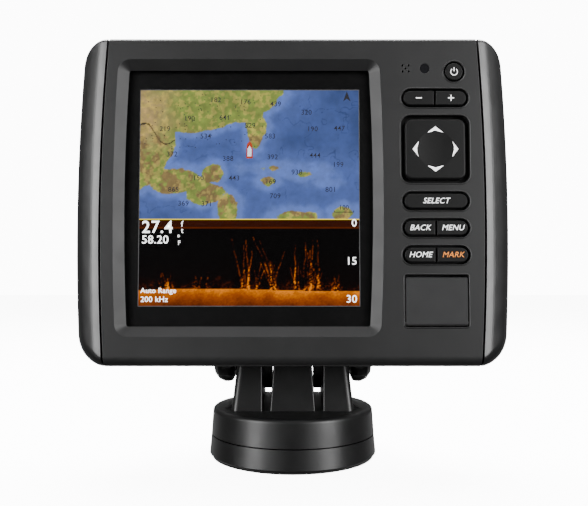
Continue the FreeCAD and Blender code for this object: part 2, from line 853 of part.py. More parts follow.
def key_bays():
    """Openings for the keys, the pad, the sensor, the beeper and the card door."""
    tools = []
    for name, height in (("zoom", D.zoom_up), ("select", D.select_up), ("back", D.back_up),
                         ("home", D.home_up)):
        tools.append(tile(name + "_bay", D.column, height, D.key_width, D.key_height, -1.0, 6.0,
                          D.key_height / 2 - 0.02))
    tools.append(tile("pad_bay_cut", D.column, D.pad_up, D.pad_bay, D.pad_bay, -1.0, 6.0,
                      D.pad_corner))
    tools.append(rod("power_bay", "Y", (D.power_across, deep(-1.0), up(D.power_up)),
                     D.power_radius + 0.6, 6.0))
    tools.append(rod("sensor_bay", "Y", (D.sensor_across, deep(-1.0), up(D.sensor_up)),
                     D.sensor_radius, 6.0))
    for x, z in ((0.0, 0.0), (1.2, 1.2), (-1.2, 1.2), (1.2, -1.2), (-1.2, -1.2)):
        centre = (D.beeper_across + x, deep(-1.0), up(D.sensor_up) + z)
        tools.append(rod("beeper_hole_%d" % len(tools), "Y", centre, 0.36, 6.0))
    return tools


def door_bay():
    middle = (D.door_high + D.door_low) / 2
    tall = D.door_high - D.door_low
    return tile("door_bay_cut", D.column, middle, D.door_width, tall, -1.0,
                D.wall + 8.5, 0.8)


def front_bezel(form):
    """Front shell between the side trims, with window, key bays and card bay."""
    half = D.seam_width / 2
    seam = bowed_block("bezel_block", half, deep(-1.0), D.shell_depth + 2.0)
    skin = common("bezel_skin", [form, seam])
    inner = D.case_height / 2 - D.wall
    hollow = block("bezel_hollow", (-half + D.wall + 2.0, deep(D.wall), up(-inner)),
                   (half - D.wall - 2.0, deep(D.shell_depth + 1.0), up(inner)))
    shell = cut("bezel_shell", skin, [hollow])
    middle = (D.door_high + D.door_low) / 2
    tub = tile("card_tub", D.column, middle, D.door_width + 3.0,
               D.door_high - D.door_low + 3.0, D.wall - 0.5, 9.5, 2.0)
    posts = [rod("bezel_post_%d" % i, "Y", (x, deep(D.wall - 0.5), z), 3.4,
                 D.shell_depth - D.wall + 0.3) for i, (x, z) in enumerate(case_screw_places())]
    solid = fuse("bezel_solid", [shell, tub] + posts)
    pilots = [rod("bezel_pilot_%d" % i, "Y", (x, deep(5.0), z), 1.25, 20.0)
              for i, (x, z) in enumerate(case_screw_places())]
    cable = block("card_slot_cut", (D.column - 9.0, deep(8.0), up(middle) - 5.5),
                  (D.column + 9.0, deep(12.0), up(middle) + 5.5))
    tools = window_tool() + key_bays() + [door_bay(), cable] + pilots
    sharp = cut("bezel_sharp", solid, tools)
    return rounded("front_bezel", sharp, 0.3, is_bezel_front_edge)


def is_bezel_front_edge(edge):
    """Edge of a bay or a seam in the bezel's front face, but not the window's."""
    box = edge.BoundBox
    in_front = abs(box.YMax - deep(0.0).value) < 1e-3 and box.YLength < 1e-3
    in_window = abs(box.Center.x - D.window_across.value) < D.window_half.value + 6.0
    return in_front and not in_window and box.XLength < 100.0


def case_screw_places():
    """Six screws close to the case's upper and lower edges."""
    return [(x, up(z)) for x in (-66.0, 0.0, 66.0) for z in (-58.0, 60.2)]


def rear_case():
    """Rear shell: thin flange on the full outline and a deep rounded bulge."""
    start = deep(D.shell_depth + 0.4)
    flange = case_block("rear_flange", 0.6, start, D.flange)
    half = D.bulge_width / 2
    outer = prism("bulge_outer", "Y",
                  rectangle(-half, half, up(-D.bulge_low), up(D.bulge_high)),
                  start, D.bulge_depth, 12.0)
    bulge = rounded("bulge_soft", outer, 5.0, is_rear_edge(start + D.bulge_depth))
    wall = D.wall
    inner = prism("bulge_inner", "Y",
                  rectangle(-half + wall, half - wall, up(-D.bulge_low) + wall,
                            up(D.bulge_high) - wall),
                  start - 1.0, D.bulge_depth + 1.0 - wall, 9.0)
    inner_soft = rounded("bulge_inner_soft", inner, 3.0,
                         is_rear_edge(start + D.bulge_depth - wall))
    rear = start + D.bulge_depth
    posts = [rod("board_post_%d" % i, "Y", (x, deep(15.8), z), 3.2, 24.0)
             for i, (x, z) in enumerate(board_screw_places())]
    pilots = [rod("board_pilot_%d" % i, "Y", (x, deep(15.0), z), 1.1, 8.0)
              for i, (x, z) in enumerate(board_screw_places())]
    grooves = [block("rear_groove_%d" % i, (-56.0, rear - 0.8, up(18.0 + 5.0 * i)),
                     (56.0, rear + 2.0, up(20.0 + 5.0 * i))) for i in range(5)]
    contact = block("rear_contact_cut", (-15.6, rear - 8.0, 88.9), (15.6, rear + 4.0, 105.1))
    holes = [rod("case_hole_%d" % i, "Y", (x, -40.0, z), 1.7, 30.0)
             for i, (x, z) in enumerate(case_screw_places())]
    shell = cut("rear_shell", fuse("rear_form", [flange, bulge]), [inner_soft])
    return cut("rear_case", fuse("rear_solid", [shell] + posts),
               grooves + [contact] + holes + pilots)


def board_screw_places():
    return [(x, up(z)) for x in (-58.0, 36.0) for z in (-34.0, 43.0)]


def is_rear_edge(plane):
    level = as_size(plane).value
    return lambda e: e.BoundBox.YMin > level - 1e-3


def case_gasket():
    """Rubber seal between the front and rear shells."""
    return ring("case_gasket", 0.0, 0.0, D.seam_width - 6.0,
                D.case_height - 2.2, 1.2, D.shell_depth, 0.4, 3.0)


def case_screws():
    """Six screws through the rear flange into the bezel's posts, heads to the rear."""
    rear = deep(D.shell_depth + 0.4) + D.flange + 1.5
    screws = [screw("case_screw_%d" % i, "Y", (x, rear, z), 2.9, 1.5, 1.2, 11.0, -1)
              for i, (x, z) in enumerate(case_screw_places())]
    return group("case_screws", screws)


# ---------------------------------------------------------------- display

def window_middle():
    return (D.window_high - D.window_low) / 2


def lens_adhesive():
    """Black adhesive frame between the bezel and the glass."""
    return ring("lens_adhesive", D.window_across, window_middle(), D.window_half * 2 + 3.6,
                D.window_high + D.window_low + 3.6, 1.7, D.wall, D.glue_thick, 2.0)


def display_lens():
    return tile("display_lens", D.window_across, window_middle(), D.window_half * 2 + 4.0,
                D.window_high + D.window_low + 4.0, D.wall + D.glue_thick, D.lens_thick, 2.0)


def lcd_front():
    return D.wall + D.glue_thick + D.lens_thick + 0.3


def lcd_panel():
    return tile("lcd_panel", D.lcd_across, D.lcd_up, D.lcd_width + 3.0, D.lcd_height + 4.0,
                lcd_front(), 1.4)


def backlight():
    return tile("backlight", D.lcd_across, D.lcd_up, D.lcd_width + 3.0, D.lcd_height + 4.0,
                lcd_front() + 1.5, 2.6)


def lcd_frame():
    """Thin metal tray that holds the panel and the backlight."""
    width = D.lcd_width + 5.0
    height = D.lcd_height + 6.0
    outer = tile("frame_outer", D.lcd_across, D.lcd_up, width, height, lcd_front(), 4.8, 1.2)
    inner = tile("frame_inner", D.lcd_across, D.lcd_up, width - 1.6, height - 1.6,
                 lcd_front() - 1.0, 5.2)
    return cut("lcd_frame", outer, [inner])


# ---------------------------------------------------------------- keypad

def front_edges(depth):
    level = deep(depth).value
    return lambda e: e.BoundBox.YMax < level + 1e-3


def pill_key(name, height, side=0):
    """Key cap with round ends; side -1 or 1 makes one half of a pair."""
    width = D.key_width - D.key_gap * 2
    tall = D.key_height - D.key_gap * 2
    front = -D.key_proud
    cap = tile(name + "_cap", D.column, height, width, tall, front, D.key_depth,
               tall / 2 - 0.02)
    if side != 0:
        gap = D.pair_gap / 2
        left = D.column - width if side < 0 else D.column + gap
        right = D.column - gap if side < 0 else D.column + width
        half = block(name + "_half", (left, deep(-2.0), up(height) - 6.0),
                     (right, deep(6.0), up(height) + 6.0))
        cap = common(name + "_form", [cap, half])
    return rounded(name, cap, 0.45, front_edges(front))


def round_key():
    cap = rod("power_cap", "Y", (D.power_across, deep(-D.key_proud), up(D.power_up)),
              D.power_radius, D.key_depth)
    return rounded("power_key", cap, 0.45, front_edges(-D.key_proud))


def direction_pad():
    """Four-way rocker with softened front edges and a shallow round dish."""
    cap = tile("pad_cap", D.column, D.pad_up, D.pad_size, D.pad_size, -D.key_proud,
               D.key_depth, D.pad_corner - 0.7)
    soft = rounded("pad_soft", cap, 0.9, front_edges(-D.key_proud))
    dish = DOC.addObject("Part::Sphere", "pad_dish")
    bind(dish, "Radius", 60.0)
    place(dish, (D.column, deep(-D.key_proud) - 59.55, up(D.pad_up)))
    return cut("direction_pad", soft, [dish])


def pad_pivot():
    """Small gimbal post behind the rocker."""
    front = D.key_depth - D.key_proud + 0.12
    return rod("pad_pivot", "Y", (D.column, deep(front), up(D.pad_up)), 2.4, 1.0)


def key_places():
    """Centre of every switch behind the caps, as pairs of sizes."""
    step = D.key_width / 4
    places = [(D.power_across, D.power_up), (D.column, D.select_up)]
    for height in (D.zoom_up, D.back_up, D.home_up):
        places += [(D.column - step, height), (D.column + step, height)]
    for x, z in ((8.0, 0.0), (-8.0, 0.0), (0.0, 8.0), (0.0, -8.0)):
        places.append((D.column + x, D.pad_up + z))
    return places


def keypad_mat():
    """Silicone sheet behind the keys, open at the sensor and the beeper."""
    sheet = tile("mat_sheet", D.column, 15.0, 28.6, 82.8, 3.6, 1.2, 2.0)
    sensor = rod("mat_sensor", "Y", (D.sensor_across, deep(2.0), up(D.sensor_up)), 2.4, 4.0)
    beeper = rod("mat_beeper", "Y", (D.beeper_across, deep(2.0), up(D.sensor_up)), 2.2, 4.0)
    return cut("keypad_mat", sheet, [sensor, beeper])


def key_domes():
    domes = [rod("dome_%d" % i, "Y", (x, deep(4.82), up(z)), 2.6, 0.26)
             for i, (x, z) in enumerate(key_places())]
    return group("key_domes", domes)


def keypad_board():
    return tile("keypad_board", D.column, 15.0, 28.6, 82.8, 5.1, 1.2, 1.0)


def sensor_window():
    return rod("sensor_window", "Y", (D.sensor_across, deep(0.25), up(D.sensor_up)),
               D.sensor_radius - 0.03, 2.6)


def beeper():
    """Sounder on the rear of the keypad board, with its front hole."""
    can = rod("beeper_can", "Y", (D.beeper_across, deep(6.3), up(D.sensor_up)), 5.2, 4.4)
    hole = rod("beeper_mouth", "Y", (D.beeper_across, deep(9.5), up(D.sensor_up)), 1.0, 2.0)
    return cut("beeper", can, [hole])


# ---------------------------------------------------------------- card door

def hinge_height():
    return up(D.door_low) + D.door_gap + D.door_thick / 2


def card_door():
    """Flush door, round along its lower edge so that it turns in its bay."""
    half = D.door_width / 2 - D.door_gap
    top = up(D.door_high) - D.finger_gap
    low = up(D.door_low) + D.door_gap
    panel = prism("door_panel", "Y", rectangle(D.column - half, D.column + half, low, top),
                  deep(0.1), D.door_thick)
    soft = rounded("door_round", panel, D.door_thick / 2 - 0.02,
                   lambda e: runs_along(e, "X") and e.BoundBox.ZMax < low.value + 1e-3)
    lip = rounded("door_lip", soft, 0.8,
                  lambda e: runs_along(e, "X") and e.BoundBox.ZMin > top.value - 1e-3
                  and e.BoundBox.YMax < deep(0.1).value + 1e-3)
    bore = rod("door_bore", "X", (D.column - 20.0, deep(0.1) + D.door_thick / 2,
                                  hinge_height()), 0.62, 40.0)
    return cut("card_door", lip, [bore])


def door_hinge_pin():
    half = D.door_width / 2
    return rod("door_hinge_pin", "X", (D.column - half, deep(0.1) + D.door_thick / 2,
                                       hinge_height()), 0.55, half * 2)


def door_seal():
    """Rubber bead on the inner face of the door."""
    return ring("door_seal", D.column, (D.door_high + D.door_low) / 2 + 0.9, 20.6, 13.6, 1.3,
                0.1 + D.door_thick, 0.7, 2.0)


def card_socket():
    """Reader with two card slots, set in the floor of the card bay."""
    middle = (D.door_high + D.door_low) / 2
    body = tile("reader_body", D.column, middle, 17.4, 10.4, 9.0, 4.8, 0.5)
    slots = [tile("reader_slot_%d" % i, D.column, middle + z, 12.0, 1.2, 8.0, 4.6)
             for i, z in enumerate((-2.4, 2.4))]
    return cut("card_socket", body, slots)


# ---------------------------------------------------------------- electronics

def main_board():
    board = tile("board_blank", -4.0, 3.0, 126.0, 94.0, 14.0, 1.6, 2.0)
    holes = [rod("board_hole_%d" % i, "Y", (x, -40.0, z), 1.6, 20.0)
             for i, (x, z) in enumerate(board_screw_places())]
    return cut("main_board", board, holes)


def board_screws():
    screws = [screw("board_screw_%d" % i, "Y", (x, deep(12.5), z), 2.8, 1.5, 1.05, 7.0)
              for i, (x, z) in enumerate(board_screw_places())]
    return group("board_screws", screws)


def shield_cans():
    cans = [tile("can_sounder", -34.0, 14.0, 34.0, 30.0, 15.6, 4.0, 1.5),
            tile("can_processor", 14.0, 16.0, 28.0, 26.0, 15.6, 3.4, 1.5)]
    return group("shield_cans", cans)


def board_components():
    """Chips, electrolytic capacitors, the clock's coin cell and a header."""
    parts = [tile("chip_%d" % i, -40.0 + 17.0 * i, -14.0, 11.0, 11.0, 15.6, 1.2)
             for i in range(4)]
    parts += [rod("capacitor_%d" % i, "Y", (-48.0 + 10.0 * i, deep(15.6), up(-32.0)), 3.6, 8.5)
              for i in range(3)]
    parts.append(rod("coin_cell", "Y", (38.0, deep(15.6), up(-20.0)), 6.2, 2.6))
    parts.append(tile("header", 0.0, -30.0, 22.0, 5.0, 15.6, 6.0))
    return group("board_components", parts)


def gps_antenna():
    """Ceramic patch lying flat under the top of the rear shell, on its own board."""
    patch = block("gps_patch", (-9.0, deep(23.0), up(44.4)), (9.0, deep(37.6), up(48.2)))
    carrier = block("gps_carrier", (-11.0, deep(22.4), up(43.2)), (11.0, deep(38.2), up(44.4)))
    return fuse("gps_antenna", [patch, carrier])


def head_contact_block():
    """Plug of the head that meets the cradle's spring contacts, with gold pads."""
    rear = deep(D.shell_depth + 0.4) + D.bulge_depth
    body = prism("contact_plug", "Y", rectangle(-15.4, 15.4, 89.1, 104.9), rear - 5.0, 4.9, 3.0)
    foot = block("contact_foot", (-12.0, rear - 12.0, 92.0), (12.0, rear - 5.0, 102.0))
    return fuse("head_contact_block", [body, foot])


# ---------------------------------------------------------------- assembly

def build_parts():
    """Every piece of the object in a table of node name and document object."""
    parts = [base_plate(), base_pad(), swivel_bush(), pedestal(), swivel_washer(),
             swivel_screw()]
    for side in (-1, 1):
        parts += [tilt_stud(side), knob_washer(side), tilt_knob(side)]
    parts += [cradle_body(), tilt_insert(), power_socket(), sonar_socket(), socket_pins(),
              connector_block(), contact_pins(), latch_lever(), latch_pin(), latch_spring(),
              connector_lock(), cradle_screws()]
    form = case_form()
    parts += [front_bezel(form), side_trim(form, -1), side_trim(form, 1), rear_case(), case_gasket(),
              case_screws(), lens_adhesive(), display_lens(), lcd_panel(), backlight(),
              lcd_frame()]
    parts += [pill_key("zoom_out_key", D.zoom_up, -1), pill_key("zoom_in_key", D.zoom_up, 1),
              pill_key("select_key", D.select_up), pill_key("back_key", D.back_up, -1),
              pill_key("menu_key", D.back_up, 1), pill_key("home_key", D.home_up, -1),
              pill_key("mark_key", D.home_up, 1), round_key(), direction_pad(), pad_pivot(),
              keypad_mat(), key_domes(), keypad_board(), sensor_window(), beeper()]
    parts += [card_door(), door_hinge_pin(), door_seal(), card_socket()]
    parts += [main_board(), board_screws(), shield_cans(), board_components(), gps_antenna(),
              head_contact_block()]
    return parts


def check_document():
    """Stop before writing anything if an object failed to compute."""
    for item in DOC.Objects:
        if {"Invalid", "Error"} & set(item.State):
            raise RuntimeError("failed object: " + item.Name)


def write_parts(parts):
    for item in parts:
        shape = item.Shape
        if shape.isNull() or not shape.isValid() or not shape.Solids:
            raise RuntimeError("bad shape: " + item.Label)
    os.makedirs("parts", exist_ok=True)
    for item in parts:
        item.Shape.exportStep("parts/%s.step" % item.Label)
    print(len(parts), "parts written")


PARTS = build_parts()
DOC.recompute()
check_document()
write_parts(PARTS)
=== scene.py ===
"""Looks of the fish finder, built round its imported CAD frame.  Metres, +Z up, the
display faces -Y and +X is to the reader's right."""

import math

import bmesh
import bpy
import numpy as np
from mathutils import Matrix, Vector


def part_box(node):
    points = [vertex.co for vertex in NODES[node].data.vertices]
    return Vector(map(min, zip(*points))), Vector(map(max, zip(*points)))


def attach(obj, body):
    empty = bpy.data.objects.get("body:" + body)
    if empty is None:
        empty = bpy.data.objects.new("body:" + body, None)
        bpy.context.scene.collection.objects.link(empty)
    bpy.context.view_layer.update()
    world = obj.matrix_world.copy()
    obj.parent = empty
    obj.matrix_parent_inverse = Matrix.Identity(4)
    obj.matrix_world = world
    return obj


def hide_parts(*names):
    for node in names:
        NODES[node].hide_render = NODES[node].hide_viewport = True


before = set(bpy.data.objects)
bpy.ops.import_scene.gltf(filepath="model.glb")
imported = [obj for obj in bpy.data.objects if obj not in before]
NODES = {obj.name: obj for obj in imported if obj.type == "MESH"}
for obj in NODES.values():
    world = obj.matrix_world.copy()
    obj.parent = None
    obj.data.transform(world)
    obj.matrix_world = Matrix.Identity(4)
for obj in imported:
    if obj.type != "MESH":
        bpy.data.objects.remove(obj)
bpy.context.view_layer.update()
MM = 0.001
HEAD = Vector((0.0, 0.0, 0.1085))  # the head's middle, on the swivel axis
SCREEN_WIDE, SCREEN_TALL = 0.0872, 0.0861
SCREEN_X, SCREEN_Z = -0.0173, HEAD.z + 0.00195  # the lit screen's middle


# ---------------------------------------------------------------- material helpers

def fill_ramp(node, stops):
    """Set a colour ramp's stops, each (position, (red, green, blue)); returns its colour."""
    elements = node.color_ramp.elements
    while len(elements) < len(stops):
        elements.new(0.5)
    for element, (at, colour) in zip(elements, stops):
        element.position = at
        element.color = (*colour, 1.0)
    return node.outputs["Color"]


def set_range(node, low, high, to_low, to_high):
    """Set a Map Range node's four limits; returns its result."""
    for name, value in (("From Min", low), ("From Max", high), ("To Min", to_low),
                        ("To Max", to_high)):
        node.inputs[name].default_value = value
    return node.outputs["Result"]


class Nodes:
    """Short way to build one material's node tree."""

    def __init__(self, name):
        self.material = bpy.data.materials.new(name)
        self.material.use_nodes = True
        self.tree = self.material.node_tree
        self.shader = self.tree.nodes["Principled BSDF"]
        self.place = self.add("ShaderNodeTexCoord").outputs["Object"]

    def add(self, kind, **inputs):
        node = self.tree.nodes.new(kind)
        for key, value in inputs.items():
            name = key.replace("_", " ")
            if isinstance(value, bpy.types.NodeSocket):
                self.link(value, node.inputs[name])
            else:
                node.inputs[name].default_value = value
        return node

    def link(self, source, target):
        self.tree.links.new(source, target)

    def set(self, **inputs):
        for key, value in inputs.items():
            socket = self.shader.inputs[key.replace("_", " ")]
            if isinstance(value, bpy.types.NodeSocket):
                self.link(value, socket)
            elif isinstance(value, tuple):
                socket.default_value = (*value, 1.0)
            else:
                socket.default_value = value

    def stretched(self, x, y, z):
        """Object coordinates scaled along each axis."""
        node = self.add("ShaderNodeMapping", Vector=self.place, Scale=(x, y, z))
        return node.outputs["Vector"]

    def noise(self, scale, detail=3.0, rough=0.55, place=None):
        return self.add("ShaderNodeTexNoise", Vector=place or self.place, Scale=scale,
                        Detail=detail, Roughness=rough).outputs["Fac"]

    def spread(self, fac, low, high, to_low, to_high):
        """Map a value from one range to another, held at the ends."""
        return set_range(self.add("ShaderNodeMapRange", Value=fac), low, high, to_low, to_high)

    def ramp(self, fac, stops):
        return fill_ramp(self.add("ShaderNodeValToRGB", Fac=fac), stops)

    def bump(self, height, strength, distance):
        node = self.add("ShaderNodeBump", Height=height, Strength=strength, Distance=distance)
        self.link(node.outputs["Normal"], self.shader.inputs["Normal"])


def grey(level):
    """Near-black to white with a trace of blue."""
    return (level, level, level * 1.02)


def moulded(name, dark, light, rough_low, rough_high, grain=900.0, depth=0.00004,
            strength=0.35, specular=0.5):
    """Injection-moulded plastic: fine grain, slight mottling, uneven gloss."""
    n = Nodes(name)
    n.set(Base_Color=n.ramp(n.noise(38.0, 4.0), [(0.3, dark), (0.7, light)]),
          Roughness=n.spread(n.noise(120.0, 3.0), 0.3, 0.7, rough_low, rough_high),
          Specular_IOR_Level=specular)
    n.bump(n.noise(grain, 2.0, 0.6), strength, depth)
    return n.material


def metal(name, dark, light, rough_low, rough_high, grain=1500.0, streak=(1.0, 1.0, 1.0)):
    """Machined or pressed metal with fine marks and uneven polish."""
    n = Nodes(name)
    marks = n.noise(grain, 3.0, 0.6, n.stretched(*streak))
    n.set(Base_Color=n.ramp(n.noise(160.0, 4.0), [(0.3, dark), (0.7, light)]),
          Roughness=n.spread(marks, 0.3, 0.7, rough_low, rough_high), Metallic=1.0)
    n.bump(marks, 0.25, 0.00003)
    return n.material


def rubbery(name, dark, light, rough_low, rough_high, sheen):
    """Soft rubber: very fine grain and a faint bloom at grazing angles."""
    n = Nodes(name)
    n.set(Base_Color=n.ramp(n.noise(90.0, 4.0), [(0.3, dark), (0.7, light)]),
          Roughness=n.spread(n.noise(300.0, 3.0), 0.3, 0.7, rough_low, rough_high),
          Sheen_Weight=sheen, Sheen_Roughness=0.5, Specular_IOR_Level=0.28)
    n.bump(n.noise(2200.0, 2.0), 0.4, 0.00002)
    return n.material


def circuit_board():
    """Green solder mask over fine copper tracks."""
    n = Nodes("circuit_board")
    brick = n.add("ShaderNodeTexBrick", Vector=n.place, Scale=260.0, Mortar_Size=0.06,
                  Mortar_Smooth=0.2, Brick_Width=0.9, Row_Height=0.28)
    brick.inputs["Color1"].default_value = (0.006, 0.055, 0.022, 1.0)
    brick.inputs["Color2"].default_value = (0.008, 0.070, 0.028, 1.0)
    brick.inputs["Mortar"].default_value = (0.030, 0.140, 0.055, 1.0)
    n.set(Base_Color=brick.outputs["Color"],
          Roughness=n.spread(n.noise(200.0), 0.3, 0.7, 0.25, 0.4))
    n.bump(brick.outputs["Fac"], 0.3, 0.00003)
    return n.material


def see_through(name, tint, seen):
    """Clear or smoked glass: a thin gloss over what lies behind it, which shows by the
    share seen."""
    n = Nodes(name)
    n.set(Base_Color=n.ramp(n.noise(60.0), [(0.3, tint), (0.7, tuple(c * 1.2 for c in tint))]),
          Roughness=n.spread(n.noise(90.0), 0.3, 0.7, 0.03, 0.06), Specular_IOR_Level=0.5)
    clear = n.add("ShaderNodeBsdfTransparent")
    mix = n.add("ShaderNodeMixShader", Fac=seen)
    n.link(n.shader.outputs[0], mix.inputs[1])
    n.link(clear.outputs[0], mix.inputs[2])
    n.link(mix.outputs[0], n.tree.nodes["Material Output"].inputs["Surface"])
    return n.material


def lit(name, colour, strength, grain=500.0):
    """Printed mark that the light behind it fills, a little unevenly."""
    n = Nodes(name)
    soft = tuple(c * 0.86 for c in colour)
    paint = n.ramp(n.noise(grain, 2.0), [(0.3, soft), (0.7, colour)])
    n.set(Base_Color=paint, Emission_Color=paint, Emission_Strength=strength, Roughness=0.6,
          Specular_IOR_Level=0.1)
    return n.material


MATERIALS = {
    "case_plastic": moulded("case_plastic", grey(0.0142), grey(0.0182), 0.43, 0.49),
    "trim_plastic": moulded("trim_plastic", grey(0.012), grey(0.015), 0.29, 0.35,
                            specular=0.7),
    "rear_plastic": moulded("rear_plastic", grey(0.019), grey(0.026), 0.5, 0.62, 420.0, 0.0001,
                            0.6),
    "mount_plastic": moulded("mount_plastic", grey(0.008), grey(0.010), 0.32, 0.40),
    "socket_plastic": moulded("socket_plastic", grey(0.012), grey(0.016), 0.34, 0.44, 1400.0),
    "latch_plastic": moulded("latch_plastic", grey(0.020), grey(0.027), 0.32, 0.42),
    "white_plastic": moulded("white_plastic", (0.62, 0.62, 0.60), (0.70, 0.70, 0.68), 0.4, 0.5),
    "nylon": moulded("nylon", (0.55, 0.53, 0.47), (0.63, 0.61, 0.55), 0.38, 0.5, 500.0),
    "chip": moulded("chip", grey(0.010), grey(0.016), 0.45, 0.6, 2400.0),
    "ceramic": moulded("ceramic", (0.52, 0.47, 0.36), (0.60, 0.55, 0.44), 0.3, 0.45, 700.0),
    "smoked_window": see_through("smoked_window", (0.010, 0.010, 0.012), 0.12),
    "lens_glass": see_through("lens_glass", (0.004, 0.004, 0.005), 0.95),
    "rubber": rubbery("rubber", grey(0.010), grey(0.014), 0.62, 0.75, 0.1),
    "key_rubber": rubbery("key_rubber", grey(0.0035), grey(0.0050), 0.46, 0.54, 0.02),
    "door_rubber": rubbery("door_rubber", grey(0.030), grey(0.036), 0.46, 0.54, 0.05),
    "steel": metal("steel", (0.46, 0.46, 0.47), (0.58, 0.58, 0.59), 0.22, 0.36),
    "brass": metal("brass", (0.60, 0.43, 0.17), (0.72, 0.53, 0.23), 0.24, 0.38),
    "gold": metal("gold", (0.80, 0.57, 0.22), (0.90, 0.66, 0.28), 0.15, 0.26),
    "tin": metal("tin", (0.50, 0.50, 0.49), (0.60, 0.60, 0.58), 0.30, 0.45, 700.0,
                 (1.0, 1.0, 6.0)),
    "board": circuit_board(),
    "display": moulded("display", grey(0.004), grey(0.006), 0.25, 0.35, 2000.0),
}
for node in NODES.values():
    slot = node.data.materials[0].name.split(".")[0]
    node.data.materials.clear()
    node.data.materials.append(MATERIALS[slot])


# ---------------------------------------------------------------- piece helpers

def smooth(value, low, high):
    """Ease from 0 at low to 1 at high."""
    t = np.clip((value - low) / (high - low), 0.0, 1.0)
    return t * t * (3 - 2 * t)


def finished_mesh(build, name):
    """Turn a bmesh into a mesh and free it."""
    mesh = bpy.data.meshes.new(name)
    build.to_mesh(mesh)
    build.free()
    return mesh


def soften(mesh, angle):
    """Shade a mesh smooth, with edges sharper than angle (in degrees) left crisp."""
    if "custom_normal" in mesh.attributes:
        mesh.attributes.remove(mesh.attributes["custom_normal"])
    mesh.shade_smooth()
    mesh.set_sharp_from_angle(angle=math.radians(angle))


def rectangle(left, right, low, high):
    return [(left, low), (right, low), (right, high), (left, high)]


def mesh_piece(name, mesh, material, body):
    """Visible piece that rides on a body and carries the given material."""
    item = bpy.data.objects.new(name, mesh)
    bpy.context.scene.collection.objects.link(item)
    mesh.materials.clear()
    mesh.materials.append(material)
    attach(item, body)
    return item


def flat_piece(name, y, outlines, material, body):
    """Flat polygons in a plane that faces -Y.  Each outline is a list of (x, z)."""
    build = bmesh.new()
    for outline in outlines:
        build.faces.new([build.verts.new((x, y, z)) for x, z in outline])
    bmesh.ops.triangulate(build, faces=build.faces[:])
    for face in build.faces:
        if face.normal.y > 0.0:
            face.normal_flip()
    return mesh_piece(name, finished_mesh(build, name), material, body)


CAPITAL = 0.73  # a capital's height over the typeface's size


def lettering(rows):
    """One mesh of several words.  A row is (text, x, y, z, height, lean, weight, align)."""
    build = bmesh.new()
    for text, x, y, z, height, lean, weight, align in rows:
        curve = bpy.data.curves.new("words", "FONT")
        curve.body = text
        curve.size = height / CAPITAL
        curve.shear = lean
        curve.offset = weight * height
        curve.space_character = 1.04 + 1.5 * weight
        curve.align_x = align
        curve.align_y = "CENTER"
        curve.resolution_u = 3
        item = bpy.data.objects.new("words", curve)
        mesh = bpy.data.meshes.new_from_object(item)
        mesh.transform(Matrix.Translation((x, y, z)) @ Matrix.Rotation(math.pi / 2, 4, "X"))
        build.from_mesh(mesh)
        bpy.data.objects.remove(item)
    return finished_mesh(build, "lettering")


# ---------------------------------------------------------------- side mouldings

def falling_front(away):
    """Extra depth of a side moulding's front, by distance from the seam."""
    steps = np.linspace(0.0, 10.0 * MM, 201)
    slope = 0.17 + 0.13 * smooth(steps, 0.0, 2.6 * MM)
    slope = slope * (1.0 - smooth(steps, 4.2 * MM, 8.8 * MM))
    depth = np.concatenate([[0.0], np.cumsum((slope[1:] + slope[:-1]) / 2 * np.diff(steps))])
    return np.interp(away, steps, depth)


SEAM_X = 75.5 * MM  # the seam's greatest distance from the middle
SEAM_RADIUS = 950.0 * MM  # the arc that the seam follows
SEAM_DROP = 4.0 * MM  # that arc's widest point is this far below the head's middle
SEAM_GAP = 0.3 * MM
SIDE_ROUND = 9.5 * MM  # radius that rolls the front into the side
ROUND_START = 2.5 * MM  # where that radius starts, from the seam


def side_moulding(node, side):
    """Side moulding whose front already curves away at the seam."""
    build = bmesh.new()
    build.from_mesh(NODES[node].data)
    cuts = [((side * x * MM, 0.0, 0.0), (1.0, 0.0, 0.0)) for x in np.arange(74.0, 87.0, 0.5)]
    heights = [*np.arange(-65.0, -50.0, 1.0), *np.arange(-50.0, 50.0, 4.0),
               *np.arange(50.0, 65.0, 1.0)]
    cuts += [((0.0, 0.0, HEAD.z + z * MM), (0.0, 0.0, 1.0)) for z in heights]
    for place, normal in cuts:
        geometry = build.verts[:] + build.edges[:] + build.faces[:]
        bmesh.ops.bisect_plane(build, geom=geometry, dist=1e-7, plane_co=place, plane_no=normal)
    low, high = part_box(node)
    for vert in build.verts:
        rise = vert.co.z - HEAD.z + SEAM_DROP
        seam = SEAM_X - SEAM_RADIUS + math.sqrt(SEAM_RADIUS ** 2 - rise ** 2)
        away = max(abs(vert.co.x) - seam, 0.0)
        rounded = min(max(away - ROUND_START, 0.0), SIDE_ROUND)
        hollow = SIDE_ROUND - math.sqrt(SIDE_ROUND ** 2 - rounded ** 2)
        vert.co.y = max(vert.co.y, low[1] + hollow)
        fade = (high[1] - vert.co.y) / (high[1] - low[1])
        vert.co.y += float(falling_front(away)) * fade
        vert.co.x += side * SEAM_GAP * float(1.0 - smooth(away, 0.1 * MM, 1.0 * MM))
    mesh = finished_mesh(build, node + "_moulding")
    soften(mesh, 28.0)
    item = mesh_piece(node + "_moulding", mesh, MATERIALS["trim_plastic"], "head")
    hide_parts(node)


# ---------------------------------------------------------------- case details

def rounded_outline(left, right, low, high, radius, steps=8):
    """Points round a rectangle with rounded corners, each with its outward direction."""
    corners = ((right - radius, high - radius, 0.0), (left + radius, high - radius, 0.5),
               (left + radius, low + radius, 1.0), (right - radius, low + radius, 1.5))
    points = []
    for x, z, turn in corners:
        for step in range(steps + 1):
            angle = math.pi * (turn + 0.5 * step / steps)
            c, s = math.cos(angle), math.sin(angle)
            points.append((x + radius * c, z + radius * s, c, s))
    return points


